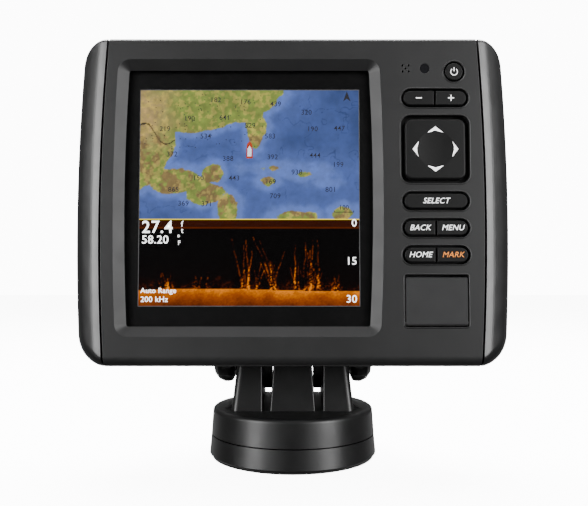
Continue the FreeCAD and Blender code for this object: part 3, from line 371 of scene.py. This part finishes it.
def swept_rim(build, outline, y, profile):
    """Strip of faces that carries a profile of (outward, forward) round an outline."""
    rings = [[build.verts.new((x + c * out, y - forward, z + s * out))
              for out, forward in profile] for x, z, c, s in outline]
    for one, two in zip(rings, rings[1:] + rings[:1]):
        for i in range(len(profile) - 1):
            build.faces.new((one[i], one[i + 1], two[i + 1], two[i]))
    return rings


# Openings of the keypad, in millimetres from the head's middle: middle x and z, half width,
# half height, corner radius, and steps in each corner.
KEYS_X = 56.3
OPENINGS = [(KEYS_X, z, 13.3, 3.75, 3.72, 8) for z in (40.8, -0.2, -10.8, -21.4)]
OPENINGS += [(KEYS_X, 20.4, 13.5, 13.5, 3.7, 8), (64.0, 51.4, 4.1, 4.1, 4.09, 12),
             (KEYS_X, -39.3, 12.45, 10.2, 0.8, 8)]
# Section of the raised edge round them, in millimetres outward and forward.
RIM_SECTION = [(0.03, -0.12), (0.04, 0.10), (0.10, 0.17), (0.20, 0.175), (0.42, 0.09),
               (0.66, -0.03), (0.64, -0.12)]


def bay_rims():
    """Fine raised edge round each opening of the keypad."""
    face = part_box("front_bezel")[0][1]
    profile = [(out * MM, forward * MM) for out, forward in RIM_SECTION + RIM_SECTION[:1]]
    build = bmesh.new()
    for x, z, wide, tall, radius, steps in OPENINGS:
        outline = rounded_outline((x - wide) * MM, (x + wide) * MM, HEAD.z + (z - tall) * MM,
                                  HEAD.z + (z + tall) * MM, radius * MM, steps)
        swept_rim(build, outline, face, profile)
    bmesh.ops.remove_doubles(build, verts=build.verts[:], dist=1e-7)
    bmesh.ops.recalc_face_normals(build, faces=build.faces[:])
    mesh = finished_mesh(build, "bay_rims")
    mesh.shade_smooth()
    mesh_piece("bay_rims", mesh, MATERIALS["case_plastic"], "head")


RECESS = 0.9 * MM  # depth of a screw head's recess


def cross_cutter(places, rear):
    """Cross-shaped drive recess for each screw, as one mesh of separate solids."""
    long, thin = 1.55 * MM, 0.36 * MM
    taper = 0.7
    outline = [(thin, thin), (thin, long), (-thin, long), (-thin, thin), (-long, thin),
               (-long, -thin), (-thin, -thin), (-thin, -long), (thin, -long), (thin, -thin),
               (long, -thin), (long, thin)]
    build = bmesh.new()
    for x, z in places:
        front = [build.verts.new((x + a * taper, rear - RECESS, z + b * taper))
                 for a, b in outline]
        back = [build.verts.new((x + a, rear + 0.3 * MM, z + b)) for a, b in outline]
        build.faces.new(front)
        build.faces.new(back[::-1])
        for i in range(len(outline)):
            j = (i + 1) % len(outline)
            build.faces.new((front[j], front[i], back[i], back[j]))
    bmesh.ops.recalc_face_normals(build, faces=build.faces[:])
    return finished_mesh(build, "cross_cutter")


def recessed_screws(node, places):
    """The node's screws with a cross recess cut in each head."""
    build = bmesh.new()
    build.from_mesh(NODES[node].data)
    bmesh.ops.remove_doubles(build, verts=build.verts[:], dist=1e-6)
    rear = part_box(node)[1][1]
    plain = bpy.data.objects.new(node + "_plain", finished_mesh(build, node + "_plain"))
    cutter = bpy.data.objects.new(node + "_cutter", cross_cutter(places, rear))
    for item in (plain, cutter):
        bpy.context.scene.collection.objects.link(item)
    cut = plain.modifiers.new("recess", "BOOLEAN")
    cut.operation = "DIFFERENCE"
    cut.solver = "EXACT"
    cut.object = cutter
    bpy.context.view_layer.update()
    finished = bpy.data.meshes.new_from_object(plain.evaluated_get(
        bpy.context.evaluated_depsgraph_get()))
    for item in (plain, cutter):
        bpy.data.objects.remove(item)
    finished.name = node + "_recessed"
    soften(finished, 30.0)
    item = mesh_piece(node + "_recessed", finished, MATERIALS["steel"], "head")
    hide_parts(node)


def rating_label():
    """Blank rating plate on the back of the case, slightly proud, with a rounded edge."""
    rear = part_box("rear_case")[1][1]
    outline = rounded_outline(-63.0 * MM, -42.0 * MM, HEAD.z - 27.0 * MM,
                              HEAD.z + 9.0 * MM, 1.6 * MM)
    build = bmesh.new()
    profile = [(0.0, 0.05 * MM), (0.0, -0.14 * MM), (-0.12 * MM, -0.20 * MM)]
    rings = swept_rim(build, outline, rear, profile)
    build.faces.new([ring[-1] for ring in rings])
    bmesh.ops.recalc_face_normals(build, faces=build.faces[:])
    foil = metal("label_foil", (0.24, 0.24, 0.25), (0.30, 0.30, 0.31), 0.42, 0.55, 900.0,
                 (1.0, 1.0, 14.0))
    mesh_piece("rating_label", finished_mesh(build, "rating_label"), foil, "head")


# ---------------------------------------------------------------- display picture

PALING = 0.21  # share of its colour that the render's tone curve takes away
MID_GREY = 0.18
CURVE_SHIFT, CURVE_SLOPE = 0.15, 0.56  # the tone curve, as a logistic curve of stops


def light_for(colour):
    """Linear light that the soft tone curve of the render shows as these 0-255 colours."""
    def mixed(values, amount):
        middle = values.mean(axis=-1, keepdims=True)
        return values + amount * (middle - values)

    level = np.clip(mixed(np.asarray(colour, float), PALING) / 255.0, 0.004, 0.98)
    stops = (np.log(level / (1.0 - level)) + CURVE_SHIFT) / CURVE_SLOPE
    light = MID_GREY * 2.0 ** stops
    return np.maximum(mixed(light, -PALING / (1.0 - PALING)), 0.0)


def cloud(x, y, scale, seed, octaves=4):
    """Fractal value noise between 0 and 1."""
    total = np.zeros_like(x)
    weight_sum = 0.0
    for octave in range(octaves):
        step = scale * 2 ** octave
        weight = 0.55 ** octave
        rng = np.random.default_rng(seed * 17 + octave)
        lattice = rng.random((int(step * 2) + 4, int(step * 2) + 4))
        fx, fy = x * step, y * step
        ix, iy = np.floor(fx).astype(int), np.floor(fy).astype(int)
        tx, ty = fx - ix, fy - iy
        tx, ty = tx * tx * (3 - 2 * tx), ty * ty * (3 - 2 * ty)
        low = lattice[iy, ix] * (1 - tx) + lattice[iy, ix + 1] * tx
        high = lattice[iy + 1, ix] * (1 - tx) + lattice[iy + 1, ix + 1] * tx
        total += weight * (low * (1 - ty) + high * ty)
        weight_sum += weight
    return total / weight_sum


def blend(under, over, amount):
    """Lay a colour over a picture by an amount from 0 to 1 at each point."""
    return under + (np.asarray(over, float) - under) * amount[..., None]


# A simplified coast.  Each lump of land is centre x and y, half width and half height,
# as fractions of the chart's height.
LANDS = [(0.36, 1.08, 0.78, 0.40), (-0.07, 0.66, 0.34, 0.46), (0.90, 0.72, 0.075, 0.19),
         (0.26, 0.30, 0.22, 0.11), (0.50, 0.20, 0.15, 0.085), (0.68, 0.06, 0.085, 0.13),
         (0.57, 0.36, 0.085, 0.075), (1.02, 0.395, 0.12, 0.024), (1.27, 0.345, 0.10, 0.024),
         (1.43, 0.285, 0.035, 0.014), (0.99, 0.30, 0.045, 0.014), (1.24, 0.00, 0.17, 0.085),
         (1.60, 0.04, 0.10, 0.05)]
CHART_WIDE = 1.71  # the chart's width over its height
CHART_LOW = 0.398  # the chart's lower edge, as a fraction of the screen's height


def paint_chart(x, y):
    """Relief chart in 0-255 colours: x from 0 to CHART_WIDE and y from 0 to 1."""
    coast = np.full_like(x, -9.0)
    for cx, cy, rx, ry in LANDS:
        reach = np.hypot((x - cx) / rx, (y - cy) / ry)
        coast = np.maximum(coast, (1 - reach) * min(rx, ry))
    coast += 0.10 * (cloud(x, y, 7.0, 1, 5) - 0.5)
    relief = cloud(x, y, 26.0, 2, 4)
    broad = cloud(x, y, 4.0, 3, 4)
    deep = np.array((64.0, 82.0, 134.0))
    sea = np.broadcast_to(deep, (*x.shape, 3)).copy()
    sea = blend(sea, (76, 95, 150), smooth(broad, 0.35, 0.65))
    sea = blend(sea, (86, 105, 160), smooth(coast, -0.22, -0.08))
    sea = blend(sea, (110, 130, 182), smooth(coast, -0.075, -0.02))
    ridge = np.abs(cloud(x, y, 5.0, 4, 4) - 0.5)
    sea = blend(sea, (46, 62, 112), 0.55 * (1 - smooth(ridge, 0.0, 0.012))
                * smooth(-coast, 0.05, 0.12))
    sea *= (0.93 + 0.14 * relief)[..., None]
    land = np.broadcast_to(np.array((132.0, 146.0, 76.0)), (*x.shape, 3)).copy()
    dry = smooth(0.55 - x + 0.5 * (broad - 0.5), 0.12, 0.50) * smooth(y, 0.45, 0.62)
    land = blend(land, (168, 150, 106), dry)
    hills = smooth(cloud(x, y, 15.0, 5, 5), 0.46, 0.60) * smooth(0.80 - y, 0.02, 0.20)
    land = blend(land, (134, 112, 76), 0.9 * hills)
    land = blend(land, (184, 170, 104), 0.6 * smooth(cloud(x, y, 34.0, 6, 3), 0.50, 0.62))
    land *= (0.84 + 0.32 * relief)[..., None]
    picture = blend(sea, land, smooth(coast, -0.003, 0.003))
    river = np.abs(y - (0.70 - 0.42 * (x - 0.02) + 0.05 * np.sin(x * 24.0)
                        + 0.08 * (cloud(x, y, 9.0, 7, 3) - 0.5)))
    return blend(picture, (66, 60, 44), (river < 0.006) * (coast > 0.0) * (x < 0.5))


CLUMPS = (0.50, 0.60, 0.73, 0.80, 0.27, 0.90, 0.12)  # where the weed stands
TALL_CLUMPS = 4  # the first of them, where it grows high
STRANDS = 64
SURFACE = 0.925  # the surface line, as a fraction of the sounder's height


def paint_sounder(x, y):
    """Scanned water column in 0-255 colours: x from 0 to 1, y from 0 below to 1 above."""
    grain = cloud(x, y * 0.5, 150.0, 11, 2)
    patch = cloud(x, y * 0.4, 22.0, 12, 3)
    echo = 0.015 + 0.05 * smooth(0.75 - y, 0.0, 0.7) * grain
    top = smooth(y, 0.905, SURFACE)
    echo += top * (0.17 + 0.09 * cloud(x * 0.3, y, 90.0, 13, 3))
    echo += 0.22 * np.exp(-((y - SURFACE) / 0.008) ** 2)
    bed = 0.188 + 0.018 * (cloud(x, y * 0.0, 9.0, 14, 3) - 0.5) + 0.012 * np.sin(x * 5.0)
    depth = bed - y
    rng = np.random.default_rng(5)
    for index in range(STRANDS):
        clump = index % len(CLUMPS)
        root = CLUMPS[clump] + rng.normal(0.0, 0.022)
        height = rng.uniform(0.10, 0.62) * (1.0 if clump < TALL_CLUMPS else 0.35)
        lean = rng.normal(0.0, 0.07)
        rise = y - bed
        line = root + lean * rise + 0.012 * (cloud(y, x * 0.0 + root, 12.0, 60 + index, 2) - 0.5)
        width = 0.0016 + 0.0030 * np.clip(1 - rise / height, 0, 1)
        strand = np.exp(-((x - line) / width) ** 2) * (rise > 0) * (rise < height)
        echo += strand * rng.uniform(0.35, 0.75) * smooth(grain * 0.6 + patch * 0.5, 0.38, 0.70)
    brush = smooth(0.24 * patch - (y - bed), 0.0, 0.12) * (depth < 0)
    echo += 0.30 * brush * smooth(grain, 0.35, 0.75)
    bottom = (depth > 0) * (0.98 - 2.6 * depth + 0.30 * (patch - 0.5) + 0.22 * (grain - 0.5))
    echo = np.where(depth > 0, np.maximum(bottom, 0.28), echo)
    stops = (0.0, 0.12, 0.28, 0.50, 0.72, 1.0)
    shades = np.array([(0, 0, 0), (18, 3, 1), (62, 16, 6), (122, 44, 13), (158, 74, 24),
                       (204, 142, 60)], float)
    echo = np.clip(echo, 0.0, 1.0)
    return np.stack([np.interp(echo, stops, shades[:, i]) for i in range(3)], axis=-1)


SCREEN_GAIN = 1.16  # brightness of the picture's light
PICTURE_SPARE = 1.009  # the picture reaches a little under the border
DIVIDER = 0.0024  # half height of the line between the chart and the sounder


def display_picture():
    """Lit picture just in front of the panel, coloured point by point.  Returns its left
    and lower edges, width, height and plane."""
    width, height = SCREEN_WIDE * PICTURE_SPARE, SCREEN_TALL * PICTURE_SPARE
    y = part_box("lcd_panel")[0][1] - 0.00003
    columns, rows = 304, 300
    u, v = np.meshgrid(np.linspace(0, 1, columns), np.linspace(0, 1, rows))
    chart = paint_chart(u * CHART_WIDE, np.clip((v - CHART_LOW) / (1 - CHART_LOW), 0, 1))
    sounder = paint_sounder(u, np.clip(v / (CHART_LOW - 0.01), 0, 1))
    picture = np.where((v > CHART_LOW)[..., None], chart, sounder)
    picture[np.abs(v - CHART_LOW) < DIVIDER] = (222, 214, 66)
    x = SCREEN_X + (u - 0.5) * width
    z = SCREEN_Z + (v - 0.5) * height
    points = np.stack([x, np.full_like(x, y), z], axis=-1).reshape(-1, 3)
    index = np.arange(columns * rows).reshape(rows, columns)
    faces = np.stack([index[:-1, :-1], index[:-1, 1:], index[1:, 1:], index[1:, :-1]],
                     axis=-1).reshape(-1, 4)
    mesh = bpy.data.meshes.new("display_picture")
    mesh.from_pydata(points.tolist(), [], faces.tolist())
    shade = mesh.color_attributes.new("picture", "FLOAT_COLOR", "POINT")
    light = np.ones((columns * rows, 4))
    light[:, :3] = light_for(picture).reshape(-1, 3)
    shade.data.foreach_set("color", light.ravel())
    n = Nodes("lit_picture")
    colour = n.add("ShaderNodeVertexColor")
    colour.layer_name = "picture"
    n.set(Base_Color=(0.0, 0.0, 0.0), Emission_Color=colour.outputs["Color"],
          Emission_Strength=SCREEN_GAIN, Roughness=0.6, Specular_IOR_Level=0.05)
    mesh_piece("display_picture", mesh, n.material, "head")
    return SCREEN_X - width / 2, SCREEN_Z - height / 2, width, height, y


def screen_marks():
    """Digits, icons and the boat, drawn over the picture.  Their places are fractions of
    its width and height."""
    left, low, width, height, y = display_picture()

    def at(u, v):
        return left + u * width, low + v * height

    def row(text, u, v, size, align="LEFT", weight=0.004):
        x, z = at(u, v)
        return (text, x, y - 0.00006, z, size * height, 0.0, weight, align)

    white = lit("screen_white", (0.86, 0.86, 0.86), 3.4)
    ink = lit("screen_ink", (0.020, 0.020, 0.026), 1.0)
    pale = lit("screen_pale", (0.55, 0.60, 0.72), 1.2)
    readings = [row("27.4", 0.012, 0.360, 0.058, weight=0.014),
                row("f", 0.190, 0.376, 0.027, weight=0.0),
                row("t", 0.190, 0.346, 0.025, weight=0.0),
                row("58.20", 0.012, 0.303, 0.039, weight=0.010),
                row("°", 0.172, 0.309, 0.030, weight=0.0),
                row("F", 0.176, 0.289, 0.021, weight=0.0),
                row("Auto Range", 0.010, 0.070, 0.024), row("200 kHz", 0.010, 0.030, 0.026)]
    readings += [row(text, 0.988, v, 0.036, "RIGHT")
                 for text, v in (("0", 0.380), ("15", 0.205), ("30", 0.031))]
    mesh_piece("sounder_readings", lettering(readings), white, "head")
    rng = np.random.default_rng(8)
    depths = []
    boat = (0.50, 0.72)
    apart = 0.105
    taken = [(0.93, 0.45), boat]
    for _ in range(90):
        u = 0.05 + 0.90 * rng.random()
        v = 0.46 + 0.50 * rng.random()
        text = str(int(rng.integers(12, 980)))
        if min(math.hypot(u - a, 1.6 * (v - b)) for a, b in taken) > apart:
            taken.append((u, v))
            depths.append(row(text, u, v, 0.024, "CENTER"))
    depths.append(row("100", 0.93, 0.452, 0.022, "CENTER"))
    mesh_piece("chart_depths", lettering(depths), ink, "head")

    marks = []
    dot = 0.00018
    for _ in range(90):
        x, z = at(0.02 + 0.56 * rng.random(), 0.72 + 0.26 * rng.random())
        marks.append(rectangle(x - dot, x + dot, z - dot, z + dot))
    x, z = at(0.945, 0.968)
    arrow = [(0.0, 0.0024), (0.0015, -0.0018), (0.0, -0.0007), (-0.0015, -0.0018)]
    marks.append([(x + a, z + b) for a, b in arrow])
    for u, wide, v, tall in ((0.93, 0.09, 0.431, 0.0028), (0.886, 0.003, 0.434, 0.009),
                             (0.974, 0.003, 0.434, 0.009)):
        x, z = at(u, v)
        a, b = wide * width / 2, tall * height / 2
        marks.append(rectangle(x - a, x + a, z - b, z + b))
    flat_piece("chart_marks", y - 0.00005, marks, ink, "head")

    x, z = at(*boat)
    hull = [(0.0, 0.0036), (0.0010, 0.0024), (0.0013, 0.0), (0.0013, -0.0034),
            (-0.0013, -0.0034), (-0.0013, 0.0), (-0.0010, 0.0024)]
    deck = [(0.0, 0.0018), (0.0008, 0.0004), (0.0008, -0.0026), (-0.0008, -0.0026),
            (-0.0008, 0.0004)]
    red = lit("screen_red", (0.30, 0.035, 0.012), 1.0)
    flat_piece("boat_hull", y - 0.00008, [[(x + a, z + b) for a, b in hull]], red, "head")
    flat_piece("boat_deck", y - 0.00011, [[(x + a, z + b) for a, b in deck]], pale, "head")


def frame_ring(name, y, outer, inner, material):
    """Flat ring between two rectangles, each (left, right, low, high)."""
    one, two = rectangle(*outer), rectangle(*inner)
    strips = [[one[i], one[(i + 1) % 4], two[(i + 1) % 4], two[i]] for i in range(4)]
    flat_piece(name, y, strips, material, "head")


def lens_border():
    """Black print behind the glass and the thin pale edge of the panel."""
    low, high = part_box("display_lens")
    y = high[1] + 0.00006
    spare, edge, inset = 1.006, 0.0003, 0.0012
    half_wide, half_tall = SCREEN_WIDE * spare / 2, SCREEN_TALL * spare / 2
    hole = [SCREEN_X - half_wide, SCREEN_X + half_wide, SCREEN_Z - half_tall,
            SCREEN_Z + half_tall]
    grown = [hole[0] - edge, hole[1] + edge, hole[2] - edge, hole[3] + edge]
    outer = [low[0] + inset, high[0] - inset, low[2] + inset, high[2] - inset]
    black = moulded("printed_black", grey(0.0030), grey(0.0040), 0.40, 0.48, 1800.0,
                    specular=0.15)
    frame_ring("lens_border", y, outer, grown, black)
    pale = moulded("panel_edge", grey(0.10), grey(0.13), 0.4, 0.5, 1800.0)
    frame_ring("panel_edge", y + 0.00002, grown, hole, pale)


# ---------------------------------------------------------------- key legends

PRINT = 0.00004  # how far a legend stands proud of its key


def front_middle(node):
    """Middle of a key's front, where its legend is printed."""
    low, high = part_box(node)
    return (low[0] + high[0]) / 2, low[1] - PRINT, (low[2] + high[2]) / 2


def legends():
    """Words and symbols on the keys, each riding on its own key."""
    white = lit("legend_white", (0.90, 0.90, 0.90), 1.9)
    orange = lit("legend_orange", (0.80, 0.27, 0.055), 1.0)
    words = {"select_key": ("SELECT", white), "back_key": ("BACK", white),
             "menu_key": ("MENU", white), "home_key": ("HOME", white),
             "mark_key": ("MARK", orange)}
    height, lean = 0.00226, 0.26
    for key, (text, material) in words.items():
        x, y, z = front_middle(key)
        rows = [(text, x, y, z + 0.00005, height, lean, 0.0, "CENTER")]
        mesh_piece(key + "_legend", lettering(rows), material, key)
    long, thin = 0.00120, 0.00018
    for key, upright in (("zoom_out_key", False), ("zoom_in_key", True)):
        x, y, z = front_middle(key)
        bars = [rectangle(x - long, x + long, z - thin, z + thin)]
        if upright:
            bars += [rectangle(x - thin, x + thin, z + s * thin, z + s * long)
                     for s in (-1, 1)]
        flat_piece(key + "_legend", y, bars, white, key)
    pad_arrows(white)
    power_symbol(white)


def pad_arrows(material):
    """Four curved arrowheads round the middle of the direction pad."""
    x, y, z = front_middle("direction_pad")
    inner, half, tip, hollow, count = 0.0066, 0.0031, 0.0024, 0.00075, 9
    shapes = []
    for turn in range(4):
        outline = [(-half, 0.0), (0.0, tip), (half, 0.0)]
        for step in range(1, count):
            t = 1 - 2 * step / count
            outline.append((half * t, hollow * (1 - t * t)))
        angle = turn * math.pi / 2
        c, s = math.cos(angle), math.sin(angle)
        shapes.append([(x + c * a - s * (b + inner), z + s * a + c * (b + inner))
                       for a, b in outline])
    flat_piece("pad_arrows", y, shapes, material, "direction_pad")


def power_symbol(material):
    """Open ring with an upright bar in its gap."""
    x, y, z = front_middle("power_key")
    z -= 0.0001
    outer, inner, gap, steps, thin = 0.00148, 0.00120, 0.62, 26, 0.00015
    turns = [math.pi / 2 + gap + (2 * math.pi - 2 * gap) * step / steps
             for step in range(steps + 1)]
    shapes = [[(x + reach * math.cos(turn), z + reach * math.sin(turn))
               for reach, turn in ((inner, a), (outer, a), (outer, b), (inner, b))]
              for a, b in zip(turns, turns[1:])]
    shapes.append(rectangle(x - thin, x + thin, z + 0.0002, z + 0.0018))
    flat_piece("power_key_legend", y, shapes, material, "power_key")


# ---------------------------------------------------------------- camera and stage

def camera():
    """Close to the display's front, below its middle and looking slightly up."""
    data = bpy.data.cameras.new("camera")
    data.lens = 40.0
    data.sensor_width = 36.0
    item = bpy.data.objects.new("camera", data)
    bpy.context.scene.collection.objects.link(item)
    item.location = (0.00055, -0.2996, 0.0745)
    item.rotation_euler = (math.radians(93.0), 0.0, 0.0)
    bpy.context.scene.camera = item


def floor():
    """Pale bright sheet that the object stands on, kept out of its reflections."""
    size = 6.0
    mesh = bpy.data.meshes.new("floor")
    mesh.from_pydata([(-size, -size, 0), (size, -size, 0), (size, size, 0), (-size, size, 0)],
                     [], [(0, 1, 2, 3)])
    item = bpy.data.objects.new("floor", mesh)
    bpy.context.scene.collection.objects.link(item)
    n = Nodes("floor_paper")
    n.set(Base_Color=n.ramp(n.noise(3.0), [(0.3, grey(0.80)), (0.7, grey(0.84))]),
          Roughness=0.9, Emission_Color=(1.0, 1.0, 1.0), Emission_Strength=10.0)
    mesh.materials.append(n.material)
    item.visible_glossy = False
    item.visible_diffuse = False


def area_light(name, place, width, height, power):
    """Soft box turned towards the object's middle and hidden from the camera."""
    data = bpy.data.lights.new(name, "AREA")
    data.shape = "RECTANGLE"
    data.size = width
    data.size_y = height
    data.energy = power
    item = bpy.data.objects.new(name, data)
    bpy.context.scene.collection.objects.link(item)
    item.location = place
    aim = Vector((0.0, 0.0, 0.1)) - Vector(place)
    item.rotation_euler = aim.to_track_quat("-Z", "Y").to_euler()
    item.visible_camera = False


def studio_world():
    """White sweep for the camera, and for everything else a dim room that is lighter
    above, with a glow behind the object."""
    world = bpy.data.worlds.new("studio")
    bpy.context.scene.world = world
    world.use_nodes = True
    tree = world.node_tree

    def ranged(value, *limits):
        node = tree.nodes.new("ShaderNodeMapRange")
        tree.links.new(value, node.inputs["Value"])
        return set_range(node, *limits)

    sweep = tree.nodes["Background"]
    sweep.inputs["Color"].default_value = (1.0, 1.0, 1.0, 1.0)
    sweep.inputs["Strength"].default_value = 12.0
    room = tree.nodes.new("ShaderNodeBackground")
    room.inputs["Strength"].default_value = 0.16
    way = tree.nodes.new("ShaderNodeSeparateXYZ")
    tree.links.new(tree.nodes.new("ShaderNodeTexCoord").outputs["Generated"], way.inputs[0])
    glow = tree.nodes.new("ShaderNodeValToRGB")
    tree.links.new(ranged(way.outputs["Z"], -1.0, 1.0, 0.0, 1.0), glow.inputs["Fac"])
    levels = ((0.25, 3.0), (0.44, 3.0), (0.50, 0.35), (0.62, 0.35), (0.75, 1.0), (1.0, 1.6))
    both = tree.nodes.new("ShaderNodeMix")
    both.data_type = "RGBA"
    tree.links.new(ranged(way.outputs["Y"], 0.30, 0.85, 0.0, 1.0), both.inputs[0])
    tree.links.new(ranged(way.outputs["Z"], -0.3, 0.8, 0.25, 1.6), both.inputs[6])
    tree.links.new(fill_ramp(glow, [(at, (level,) * 3) for at, level in levels]),
                   both.inputs[7])
    tree.links.new(both.outputs[2], room.inputs["Color"])
    mix = tree.nodes.new("ShaderNodeMixShader")
    tree.links.new(tree.nodes.new("ShaderNodeLightPath").outputs["Is Camera Ray"],
                   mix.inputs[0])
    tree.links.new(room.outputs[0], mix.inputs[1])
    tree.links.new(sweep.outputs[0], mix.inputs[2])
    tree.links.new(mix.outputs[0], tree.nodes["World Output"].inputs["Surface"])


def lights():
    """Two side boxes for the mouldings, two front fills and three panels overhead."""
    area_light("left_box", (-0.83, -0.65, 0.225), 0.38, 0.75, 10.6)
    area_light("right_box", (0.80, -0.68, 0.225), 0.38, 0.75, 11.1)
    area_light("left_fill", (-0.50, -0.92, 0.2), 0.25, 1.0, 1.2)
    area_light("right_fill", (0.52, -0.92, 0.2), 0.25, 1.0, 1.6)
    area_light("top_panel", (0.0, -0.55, 1.0), 1.4, 0.35, 0.6)
    area_light("top_middle_panel", (0.0, -0.12, 1.2), 1.4, 0.30, 9.0)
    area_light("top_back_panel", (0.0, 0.25, 1.1), 1.4, 0.5, 60.0)


camera()
floor()
studio_world()
lights()
side_moulding("left_trim", -1)
side_moulding("right_trim", 1)
bay_rims()
recessed_screws("case_screws", [(x * MM, HEAD.z + z * MM) for x in (-66.0, 0.0, 66.0)
                                for z in (-58.0, 60.2)])
recessed_screws("cradle_screws", [(x * MM, z * MM) for x in (-28.5, 28.5)
                                  for z in (68.5, 113.5)])
rating_label()
screen_marks()
lens_border()
legends()
